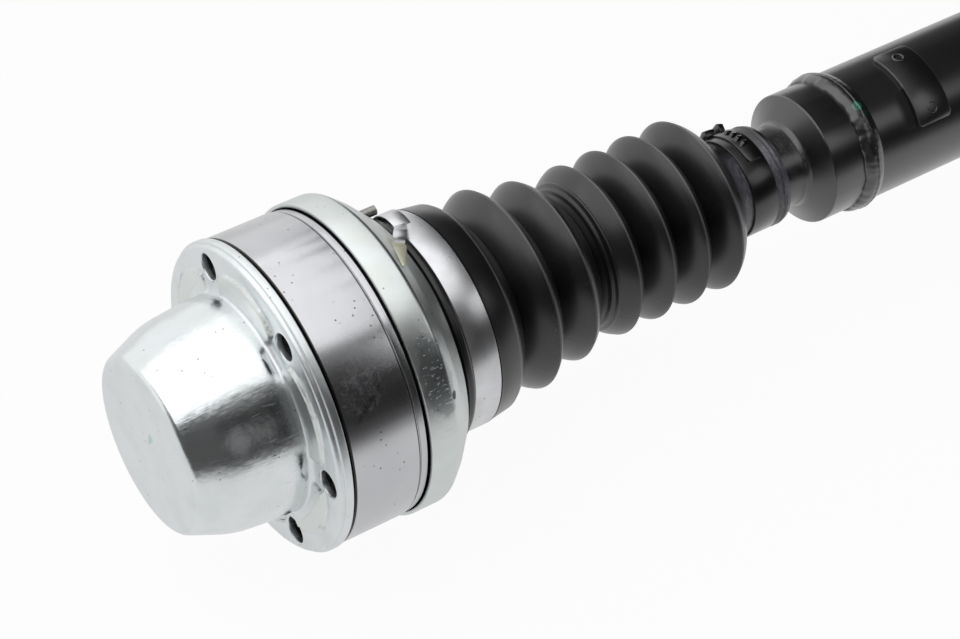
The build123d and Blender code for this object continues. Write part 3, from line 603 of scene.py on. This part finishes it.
def pressed(x, r, a):
    # Under the pads the sheet stands forward: the larger of its own depth and the pad's height, rounded where
    # they meet.
    lifted = (np.maximum(-x, 0) ** 4 + padHeight(r, a) ** 4) ** 0.25
    pitch = 2 * pi / cap["holes"]
    byHole = np.cos((a % pitch) * cap["holes"]) ** 2 * (np.cos((a % pitch) * cap["holes"]) > 0)
    pinch = 0.7 * byHole * smooth01((x + 4.5) / 3.0) * smooth01((38.3 - r) / 2.0)
    return np.where(x <= 0, -lifted, x), r - pinch


def sectorGrid(inner, outer, xFront, holeEdge, shape, rows=12, arc=48, side=12):
    # One sixth of the flange as rings from its hole out to its edge: ring v lies at the share v of the way
    # from the hole's circle to the sector's edge, along straight lines.
    half = pi / cap["holes"]
    across = np.linspace(-half, half, arc, endpoint=False)
    up = np.linspace(inner, outer, side, endpoint=False)
    radius = np.concatenate([np.full(arc, inner), up, np.full(arc, outer), up[::-1] + (outer - inner) / side])
    angle = np.concatenate([across, np.full(side, half), -across, np.full(side, -half)])
    edge = np.stack([radius * np.cos(angle), radius * np.sin(angle)], 1)
    middle = np.array([cap["boltCircle"] / 2, 0.0])
    toward = edge - middle
    direction = toward / np.linalg.norm(toward, axis=1)[:, None]
    hole = middle + direction * (cap["holeR"] + holeEdge)
    share = np.linspace(0, 1, rows)[:, None, None] ** 1.3
    flat = hole[None] * (1 - share) + edge[None] * share
    grids = []
    for k in range(cap["holes"]):
        turn = 2 * half * k
        y = flat[..., 0] * cos(turn) - flat[..., 1] * sin(turn)
        z = flat[..., 0] * sin(turn) + flat[..., 1] * cos(turn)
        r, a = np.hypot(y, z), np.arctan2(z, y)
        x, _ = shape(np.full_like(r, xFront), r, a)
        grids.append((np.stack([x, y, z], -1), False, True))
        if holeEdge:  # the rounded edge, then the wall down to the back face
            bend = np.linspace(0, 1, 5) * pi / 2
            wall = np.stack([holeEdge * (1 - np.cos(bend)), holeEdge * (1 - np.sin(bend))], 1)
            wall = np.concatenate([wall, [[cap["sheet"], 0.0]]])
            ring = middle + direction[None] * (cap["holeR"] + wall[:, 1])[:, None, None]
            y = ring[..., 0] * cos(turn) - ring[..., 1] * sin(turn)
            z = ring[..., 0] * sin(turn) + ring[..., 1] * cos(turn)
            grids.append((np.stack([np.repeat(wall[:, :1], y.shape[1], 1), y, z], -1), False, True))
    return grids


def unshaped(x, r, a):
    return x, r


def makeGreaseCap():
    dome = rounded(
        [
            (cap["endX"], 0.0),
            (cap["endX"], cap["cornerR"]),
            cap["side"],
            (cap["neckX"], cap["baseR"]),
            (0.0, cap["baseR"]),
            (0.0, cap["flangeIn"]),
        ],
        cap["rounds"],
        stepDeg=2.5,
    )
    inside = beside(dome, cap["sheet"])
    inside[0, 1] = 0.0
    inside[-1] = (cap["sheet"], cap["flangeIn"])
    outer, back = cap["flangeOut"], cap["rimR"] - cap["sheet"]
    rim = rounded(
        [
            (0.0, outer),
            (0.0, cap["stepR"]),
            (cap["stepX"], cap["stepR"]),
            (cap["stepX"], cap["rimR"]),
            (cap["skirtX"], cap["rimR"]),
            (cap["skirtX"], back),
            (cap["sheet"], back),
            (cap["sheet"], outer),
        ],
        (1.2, 0.25, 0.7, 0.4, 0.3, 0.6),
        stepDeg=12.0,
    )
    turns = cap["holes"] * 48
    half = pi / cap["holes"]
    grids = [
        (spun(dense(dome, 0.8), turns, pressed), False, True),
        (spun(dense(inside, 2.0), turns), False, True),
        (spun(rim, turns), False, True),
    ]
    grids += sectorGrid(cap["flangeIn"], outer, 0.0, cap["holeEdge"], pressed)
    grids += sectorGrid(cap["flangeIn"], outer, cap["sheet"], 0.0, unshaped)
    return meshFrom("greaseCap", grids, 50.0)


place("greaseCap", makeGreaseCap(), "housing", "zincCap", "zinc_plate", ["grease_cap"])
print("grease cap made")

# Boot can
can = {
    "corners": ((31.0, 51.2), (40.4, 51.2), (44.6, 47.6), (50.3, 41.4), (50.3, 33.0), (66.0, 33.0)),
    "bends": (2.4, 0.4, 0.9, 1.3),
    "sheet": 1.4,
    "edge": 0.45,
}
canLine = rounded(can["corners"], can["bends"], stepDeg=4.0)
canMesh = meshFrom("bootCan", [(spun(walled(canLine, can["sheet"], can["edge"]), 288), True, True)], 50.0)
place("bootCan", canMesh, "housing", "zincCan", "zinc_plate", ["boot_can"])

# Boot: three lengths that meet in valleys, each with its wall
boot = {
    "wall": 2.0,
    "lip": ((50.4, 36.4), (50.4, 37.8), (50.8, 38.1), (52.0, 38.1), (52.4, 37.2), (52.9, 38.1), (54.1, 38.1),
            (54.6, 37.3), (55.2, 37.3), (56.1, 36.6), (56.5, 35.15)),
    "afterBand": ((66.1, 35.15), (66.3, 35.9), (67.6, 35.6)),
    "ridges": tuple(zip(crestX, crestR)),
    "valleys": ((81.6, 25.4), (97.6, 22.4), (114.4, 20.6), (130.6, 19.6), (143.9, 19.6), (157.2, 19.6)),
    "power": 1.42,
    "mouldLine": 0.16,
    "ribs": (116.4, 118.0),
    "ribHeight": 0.55,
    "tail": ((173.5, 17.6), (178.1, 16.45), (187.9, 16.45), (188.5, 16.9), (190.0, 17.3), (190.8, 16.6),
             (191.6, 17.3), (193.0, 16.9)),
    "tailInside": 14.5,
    "neckInside": 33.0,
}


def halfRidge(fromX, fromR, toX, toR, steps=14):
    # From crest to valley or back: the drop from the crest is the share of the way to the given power.
    crest, valley = (fromR, toR) if fromR > toR else (toR, fromR)
    share = np.linspace(0, 1, steps)
    away = share if fromR > toR else 1 - share
    return np.stack([fromX + (toX - fromX) * share, valley + (crest - valley) * (1 - away ** boot["power"])], 1)


def bellows(stops):
    # Half ridges end to end, with a fine mould line along each crest and two ribs behind the third ridge.
    pieces = [halfRidge(*a, *b)[:-1] for a, b in zip(stops[:-1], stops[1:])]
    line = dense(np.concatenate([*pieces, [stops[-1]]]), 0.35)
    for x, _ in boot["ridges"]:
        line[:, 1] += boot["mouldLine"] * smooth01(1.4 - np.abs(line[:, 0] - x) / 0.3)
    for x in boot["ribs"]:
        line[:, 1] += boot["ribHeight"] * smooth01(1.3 - np.abs(line[:, 0] - x) / 0.45)
    return line


def bootLength(name, outside, inside, blend, stands):
    line = np.concatenate([outside, inside])
    mesh = meshFrom(name, [(spun(line, 240), True, True)], 50.0)
    return place(name, mesh, blend, "rubber", "rubber", stands)


def axisPoint(x):
    return (x * mm, 0.0, 0.0)


def under(line):
    return (line - (0, boot["wall"]))[::-1]


stops = sorted(boot["ridges"] + boot["valleys"])
frontRun = np.concatenate([np.array(boot["afterBand"]), bellows(stops[:2])])
frontIn = np.array([*under(bellows(stops[:2])), (66.0, boot["neckInside"]), (50.4, boot["neckInside"])])
bootLength(
    "bootFront",
    np.concatenate([np.array(boot["lip"]), frontRun]),
    frontIn,
    ("housing", "cage", axisPoint(66.5), axisPoint(stops[1][0])),
    ["boot_front"],
)
middleRun = bellows(stops[1:6])
bootLength(
    "bootMiddle", middleRun, under(middleRun), ("cage", "stub", axisPoint(stops[1][0]), axisPoint(stops[5][0])),
    ["boot_middle"],
)
rearRun = np.concatenate([bellows(stops[5:]), halfRidge(*stops[-1], *boot["tail"][0])[1:]])
rearIn = np.array([(193.0, boot["tailInside"]), (175.5, boot["tailInside"]), *under(rearRun)])
bootLength(
    "bootRear",
    np.concatenate([rearRun, np.array(boot["tail"])]),
    rearIn,
    ("stub", "shaft", axisPoint(stops[5][0]), axisPoint(172.0)),
    ["boot_rear"],
)
print("boot made")


def onShaft(stops):
    # (x, radius, angle in degrees) rows as points in space, and the outward direction at each.
    x, r, a = np.array(stops, float).T
    a = np.radians(a)
    out = np.stack([np.zeros_like(a), np.cos(a), np.sin(a)], 1)
    return np.stack([x, r * np.cos(a), r * np.sin(a)], 1), out


def eased(stops, count):
    # A smooth line through the stops: each length is the cubic whose slopes match its neighbours' chords.
    stops = np.array(stops, float)
    slope = np.gradient(stops, axis=0)
    at = np.linspace(0, len(stops) - 1, count)
    k = np.minimum(at.astype(int), len(stops) - 2)
    t = (at - k)[:, None]
    start, end, out, into = stops[k], stops[k + 1], slope[k], slope[k + 1]
    return (
        start * (2 * t**3 - 3 * t**2 + 1) + out * (t**3 - 2 * t**2 + t)
        + end * (3 * t**2 - 2 * t**3) + into * (t**3 - t**2)
    )


def strap(name, stops, width, sheet, count=40):
    # A strip of sheet carried along the stops: its section is a flat loop with eased edges, square to the line.
    # Width and sheet may be rows of values, spaced evenly from one end to the other.
    line, out = onShaft(eased(stops, count))
    ahead = np.gradient(line, axis=0)
    ahead /= np.linalg.norm(ahead, axis=1)[:, None]
    side = np.cross(ahead, out)
    side /= np.linalg.norm(side, axis=1)[:, None]
    up = np.cross(side, ahead)
    share = np.linspace(0, 1, count)
    widths, sheets = [np.interp(share, np.linspace(0, 1, np.size(row)), np.atleast_1d(row)) for row in (width, sheet)]
    loops = []
    for wide, thick in zip(widths, sheets):
        corners = [(-wide / 2, 0), (wide / 2, 0), (wide / 2, thick), (-wide / 2, thick)]
        loops.append(rounded(corners, [0.3 * min(wide, thick)] * 4, closed=True, stepDeg=45.0))
    loops = np.array(loops)
    section = side[:, None] * loops[..., :1] + up[:, None] * loops[..., 1:]
    return meshFrom(name, [(line[:, None] + section, False, True)], 35.0)


# Large clamp: band, the arch that stands off it, its tail folded over the boot's lip, and the rolled pin
clamp = {
    "bandX": (56.6, 66.0),
    "bandR": (35.2, 35.9),
    "bandEdges": (0.15,) * 4,
    "archX": 59.5,
    "archDeg": (54.5, 77.5),
    "archHeight": 1.9,
    "archWidth": 5.6,
    "tail": ((58.6, 35.7, 76.5), (57.5, 36.6, 81.0), (55.2, 38.3, 86.5), (52.8, 38.6, 91.0), (51.2, 39.6, 94.0),
             (50.1, 41.7, 96.5), (48.4, 43.4, 99.0), (46.9, 45.1, 101.0)),
    "tailWidth": 4.0,
    "tip": ((47.1, 45.0, 100.8), (46.2, 46.0, 102.6), (45.5, 46.8, 104.4), (44.8, 47.6, 106.5), (43.9, 48.5, 109.5),
            (43.0, 49.2, 112.5)),
    "tipWidth": (3.6, 5.2, 5.4, 4.4, 2.2, 0.8),
    "tipSheet": (1.0, 1.2, 1.1, 0.7, 0.35, 0.25),
    "pinX": (50.4, 56.0),
    "pinPlace": (39.95, 63.5),
    "pinR": 1.7,
    "pinSheet": 0.6,
    "sheet": 0.6,
}


def makeArch():
    # A strip bent off the band: its height over the band is a sine raised to 0.8 between its two feet.
    share = np.linspace(0, 1, 25)
    angle = clamp["archDeg"][0] + (clamp["archDeg"][1] - clamp["archDeg"][0]) * share
    radius = clamp["bandR"][1] - 0.45 + clamp["archHeight"] * np.sin(pi * share) ** 0.8
    stops = np.stack([np.full(25, clamp["archX"]), radius, angle], 1)
    return strap("clampArch", stops, clamp["archWidth"], clamp["sheet"], 60)


def makePin():
    # A sheet rolled one and a fifth turns round the pin's axis: the radius falls evenly with the turn.
    turn = np.linspace(0.35 * pi, 2.75 * pi, 60)
    roll = clamp["pinR"] - (clamp["pinR"] - 2 * clamp["pinSheet"]) * (turn - turn[0]) / (2.4 * pi) * 0.9
    outline = walled(np.stack([roll * np.cos(turn), roll * np.sin(turn)], 1)[::-1], clamp["pinSheet"] * 0.8, 0.08)
    (middle,), _ = onShaft([(0.0, *clamp["pinPlace"])])
    x = np.linspace(*clamp["pinX"], 6)
    grid = np.empty((len(x), len(outline), 3))
    grid[..., 0] = x[:, None]
    grid[..., 1:] = outline[None] + middle[None, None, 1:]
    return meshFrom("clampPin", [(grid, False, True)], 40.0)


def flatRing(name, xEnds, rEnds, edges, turns, stepDeg=30.0):
    # A ring of flat sheet between two places along the shaft and two radii, its edges rounded.
    (x0, x1), (r0, r1) = xEnds, rEnds
    outline = rounded([(x0, r0), (x1, r0), (x1, r1), (x0, r1)], edges, closed=True, stepDeg=stepDeg)
    return meshFrom(name, [(spun(outline, turns), True, True)], 35.0)


bandMesh = flatRing("clampBand", clamp["bandX"], clamp["bandR"], clamp["bandEdges"], 288)
place("clampBand", bandMesh, "housing", "stainless", "stainless", ["large_clamp_band"])
place("clampArch", makeArch(), "housing", "stainless", "stainless")
tailMesh = strap("clampTail", clamp["tail"], clamp["tailWidth"], clamp["sheet"])
place("clampTail", tailMesh, "housing", "stainless", "stainless")
tipMesh = strap("clampTip", clamp["tip"], clamp["tipWidth"], clamp["tipSheet"])
place("clampTip", tipMesh, "housing", "foldedTip", "stainless")
place("clampPin", makePin(), "housing", "pinSteel", "dark_steel", ["large_clamp_pin"])
print("large clamp made")

# Small clamp: band, a cover with hooked teeth, and the crimped ear
smallClamp = {
    "bandX": (178.2, 187.8),
    "bandR": (16.5, 17.2),
    "bandEdges": (0.2,) * 4,
    "cover": ((184.2, 17.15, 54.0), (184.2, 17.15, 75.0), (184.2, 17.15, 96.0), (184.2, 17.15, 117.5)),
    "coverWidth": (6.2,) * 14 + (5.9, 4.9),
    "coverSheet": 0.75,
    "teethDeg": (68.0, 77.0, 86.0, 95.0),
    "hook": ((182.4, 17.5, 2.0), (184.0, 18.1, 0.0), (186.0, 17.9, -2.0)),  # x, radius, angle from its tooth
    "hookWidth": (0.7, 1.3, 0.7),
    "hookSheet": (0.3, 0.75, 0.3),
    "ear": ((178.3, 16.7, 43.0), (180.6, 16.7, 43.5), (183.0, 16.7, 44.0), (185.4, 16.7, 44.5), (187.7, 16.7, 45.0)),
    "earWidth": (1.3, 2.6, 2.2, 1.5, 2.3, 1.6),
    "earSheet": (1.9, 3.4, 3.3, 3.0, 4.0, 3.4),
}
ringMesh = flatRing("smallBand", smallClamp["bandX"], smallClamp["bandR"], smallClamp["bandEdges"], 200)
place("smallBand", ringMesh, "shaft", "clampBlack", "black_clamp", ["small_clamp"])
for label, stops, width, sheet, count in (
    ("Cover", smallClamp["cover"], smallClamp["coverWidth"], smallClamp["coverSheet"], 70),
    ("Ear", smallClamp["ear"], smallClamp["earWidth"], smallClamp["earSheet"], 40),
):
    place("small" + label, strap("small" + label, stops, width, sheet, count), "shaft", "clampBlack", "black_clamp")
for k, angleDeg in enumerate(smallClamp["teethDeg"]):
    hook = [(x, r, angleDeg + off) for x, r, off in smallClamp["hook"]]
    hookName = "smallHook" + str(k + 1)
    hookMesh = strap(hookName, hook, smallClamp["hookWidth"], smallClamp["hookSheet"], 14)
    place(hookName, hookMesh, "shaft", "clampBlack", "black_clamp")
print("small clamp made")

# Tube, its front weld and the balance plate's spot welds
tube = {"ends": (224.0, 442.0), "r": 22.7, "wall": 2.0, "headR": 22.4}
weld = {"front": 4.3, "back": 3.6, "step": 0.35, "height": 1.55, "turns": 480}


def tubeWall():
    x0, x1 = tube["ends"]
    inner = tube["r"] - tube["wall"]
    return dense(np.array([(x0, inner), (x0, tube["r"]), (x1, tube["r"]), (x1, inner), (x0, inner)]), 30.0)[:-1]


def frontWeld():
    # Over the share u from its front edge to its back: x runs between the two edges, and the radius is the shaft's
    # plus a half sine. Slow and quick sines round the shaft move the front edge, and ripple the bead.
    u = np.linspace(0, 1, 26)[:, None]
    a = np.linspace(0, 2 * pi, weld["turns"], endpoint=False)[None]
    ragged = 0.5 * np.sin(5 * a + 1.0) + 0.35 * np.sin(17 * a + 2.0) + 0.22 * np.sin(41 * a) * np.sin(3 * a + 0.7)
    x = tube["ends"][0] - weld["front"] - 0.55 * ragged * (1 - u) + (weld["front"] + weld["back"]) * u
    under = np.where(x < tube["ends"][0], tube["headR"], tube["r"])
    ripple = 0.5 * np.sin(29 * a + 9 * u) + 0.5 * np.sin(67 * a - 5 * u + 1.3)
    bead = weld["height"] * np.sin(pi * u) ** 0.75 * (1 + 0.10 * np.sin(4 * a + 0.6) + 0.025 * ripple)
    r = under + weld["step"] * smooth01((0.85 - u) / 0.6) * (0.85 + 0.2 * np.sin(13 * a) ** 2) + bead
    foot = tube["headR"] - 0.8
    x = np.concatenate([x[:1], x, x[-1:]])
    r = np.concatenate([np.full_like(r[:1], foot), r, np.full_like(r[:1], foot)])
    a = np.repeat(a, len(x), 0)
    return np.stack([x, r * np.cos(a), r * np.sin(a)], -1)


def ringOn(name, x, radius, angleDeg, ringR, barR):
    # A small ring lying on the shaft: a circle of barR carried round a circle of ringR square to the surface.
    (middle,), (out,) = onShaft([(x, radius, angleDeg)])
    side = np.cross(out, (1.0, 0.0, 0.0))
    t = np.arange(36)[:, None] * pi / 18
    v = np.arange(12)[None] * pi / 6
    reach = ringR + barR * np.cos(v) + 0 * t
    lift = barR * np.sin(v) + 0 * t
    grid = middle + (reach * np.cos(t))[..., None] * np.array((1.0, 0.0, 0.0)) + (reach * np.sin(t))[..., None] * side
    return meshFrom(name, [(grid + lift[..., None] * out, True, True)], 60.0)


place("tube", meshFrom("tube", [(spun(tubeWall(), 240), True, True)], 40.0), "shaft", "tubePaint", "black_paint",
      ["shaft_tube"])
place("frontWeld", meshFrom("frontWeld", [(frontWeld(), True, True)], 70.0), "shaft", "tubePaint", "black_paint",
      ["front_weld"])
for k, (angleDeg, ringR, barR) in enumerate(plate["spots"]):
    spotName = "spotWeld" + str(k + 1)
    spotMesh = ringOn(spotName, plate["x"], plate["r"], angleDeg, ringR, barR)
    place(spotName, spotMesh, "shaft", "platePaint", "black_paint")
plateRow = np.linspace(*plate["ends"], 141)
fromEnd = np.radians(np.minimum(plateRow - plateRow[0], plateRow[-1] - plateRow)) * plate["r"]
cornerDepth = np.maximum(plate["corner"] - fromEnd, 0)
plateWidth = plate["width"] - 2 * (plate["corner"] - np.sqrt(plate["corner"] ** 2 - cornerDepth**2))
plateStops = [(plate["x"], tube["r"] - 0.02, angleDeg) for angleDeg in plateRow]
plateMesh = strap("balancePlate", plateStops, plateWidth, plate["sheet"], 141)
place("balancePlate", plateMesh, "shaft", "platePaint", "black_paint", ["balance_weight"])
print("tube made")

# The race's narrow rear step, seen between its groove and the can
rearStep = rounded([(28.12, 48.7), (28.12, 49.65), (30.45, 49.65), (30.45, 48.7)], [0.05, 0.2, 0.35, 0.05], closed=True)
rearStepMesh = meshFrom("raceStep", [(spun(rearStep, 288), True, True)], 35.0)
place("raceStep", rearStepMesh, "housing", "groundSteel", "ground_steel")

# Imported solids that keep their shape
kept = [
    "outer_race", "cap_gasket", "can_o_ring", "ball_cage", "inner_race", "stub_shaft", "race_circlip",
    "spline_sleeve", "sleeve_plug", "rear_weld", "tube_yoke", "flange_yoke", "cross", "grease_nipple",
    *[f"ball_{k}" for k in range(1, 7)],
    *[f"{kind}_{k}" for kind in ("bearing_cup", "needle_ring", "trunnion_seal", "snap_ring") for k in range(1, 5)],
]
for node in kept:
    smoothed(node, "forgePaint" if node.endswith("yoke") else None)
print("packed solids dressed:", len(kept))

# Camera, light and floor
view = {"place": (-0.2879, -0.5444, 0.5729), "azimuth": -34.23, "elevation": 41.45, "lens": 105.0}
floorLevel = cadBounds[0][2] - 0.0005
studio = {
    "floorFades": (-0.44, -0.17),
    "floorSize": 3.0,
    "floorWhite": 0.95,
    "floorGloss": (0.05, 0.76),
    "behind": (-0.05, 0.30),
    "behindEnds": (0.53, 0.42),
    "left": (-0.15, -0.45),
    "leftLevel": 0.45,
    "leftFront": 0.15,
    "above": 0.2,
    "aboveRise": (0.62, 0.80),
    "roomTop": (0.70, 0.56),
    "dark": 0.02,
    "room": 0.97,
    "patch": (-0.035, -0.966, 0.254),
    "patchEdge": (0.955, 0.988),
    "patchLevel": 0.16,
    "lamps": {  # centre, what it faces, size, brightness
        "overhead": ((-0.08, 0.11, 0.45), (-0.08, 0.11, 0.0), (0.76, 0.79), 1.12),
        "frontRight": ((0.50, -0.42, 0.41), (0.24, -0.01, 0.02), (0.30, 0.26), 1.0),
    },
}


def makeCamera():
    camera = bpy.data.cameras.new("camera")
    camera.lens = view["lens"]
    camera.sensor_width = 36.0
    holder = bpy.data.objects.new("camera", camera)
    holder.location = view["place"]
    holder.rotation_euler = (radians(90 - view["elevation"]), 0, radians(view["azimuth"]))
    bpy.context.scene.collection.objects.link(holder)
    bpy.context.scene.camera = holder


def makeFloor():
    size = studio["floorSize"]
    mesh = bpy.data.meshes.new("floor")
    corners = [(x * size, y * size, floorLevel) for x, y in ((-1, -1), (1, -1), (1, 1), (-1, 1))]
    mesh.from_pydata(corners, [], [(0, 1, 2, 3)])
    floor = bpy.data.objects.new("floor", mesh)
    bpy.context.scene.collection.objects.link(floor)
    finish = bpy.data.materials.new("floor")
    finish.use_nodes = True
    tree = finish.node_tree
    tree.nodes.clear()
    start = Wire(tree)
    spot = start.node("TexCoord", out="Object")
    near = start.node("SeparateXYZ", None, {0: spot}, out=1).step(*studio["floorFades"])
    camera = start.node("LightPath", out="Is Camera Ray")
    glossy = start.node("LightPath", out="Is Glossy Ray")
    matt = start.node("BsdfDiffuse", None, {"Color": (0.86, 0.86, 0.86, 1)})
    gloss, glossRise = studio["floorGloss"]
    strength = camera + glossy * (gloss + glossRise * near)
    white = start.node("Emission", None, {"Color": (1, 1, 1, 1), "Strength": strength})
    shader = start.node("MixShader", None, {0: camera * studio["floorWhite"] + glossy * 0.9, 1: matt, 2: white})
    start.node("OutputMaterial", None, {"Surface": shader})
    mesh.materials.append(finish)


def makeWorld():
    # A white room to the left and behind up to the height of the lamps, dark elsewhere but for one pale patch.
    world = bpy.data.worlds.new("studio")
    bpy.context.scene.world = world
    world.use_nodes = True
    tree = world.node_tree
    tree.nodes.clear()
    start = Wire(tree)
    toward = start.node("TexCoord", out="Generated")
    x, y, z = [start.node("SeparateXYZ", None, {0: toward}, out=k) for k in range(3)]
    below = z.step(*studio["roomTop"])
    behind = y.step(*studio["behind"]) * x.step(*studio["behindEnds"])
    left = x.step(*studio["left"]) * (studio["leftFront"] + (1.0 - studio["leftFront"]) * y.step(-0.3, 0.1))
    above = z.step(*studio["aboveRise"]) * x.step(*studio["behindEnds"]) * studio["above"]
    px, py, pz = studio["patch"]
    patch = (x * px + y * py + z * pz).step(*studio["patchEdge"])
    walls = (behind + left * studio["leftLevel"]).clip() * below * studio["room"]
    strength = studio["dark"] + above + walls + patch * studio["patchLevel"]
    seen = start.node("LightPath", out="Is Camera Ray")
    strength = strength * (1.0 - seen) + seen
    sky = start.node("Background", None, {"Color": (1.0, 1.0, 1.0, 1), "Strength": strength})
    start.node("OutputWorld", None, {"Surface": sky})


def makeLamp(name, centre, toward, size, level):
    # A soft box of this brightness: its power is the brightness times its area times pi.
    lamp = bpy.data.lights.new(name, "AREA")
    lamp.shape = "RECTANGLE"
    lamp.size, lamp.size_y = size
    lamp.energy = level * pi * size[0] * size[1]
    holder = bpy.data.objects.new(name, lamp)
    holder.location = centre
    holder.rotation_euler = (Vector(toward) - Vector(centre)).to_track_quat("-Z", "Y").to_euler()
    holder.visible_camera = False
    bpy.context.scene.collection.objects.link(holder)


makeCamera()
makeFloor()
makeWorld()
for name, settings in studio["lamps"].items():
    makeLamp(name, *settings)
bpy.context.scene.view_settings.view_transform = "Standard"


def plain(bounds):
    return [[float(value) for value in corner] for corner in bounds]


print("scene complete")
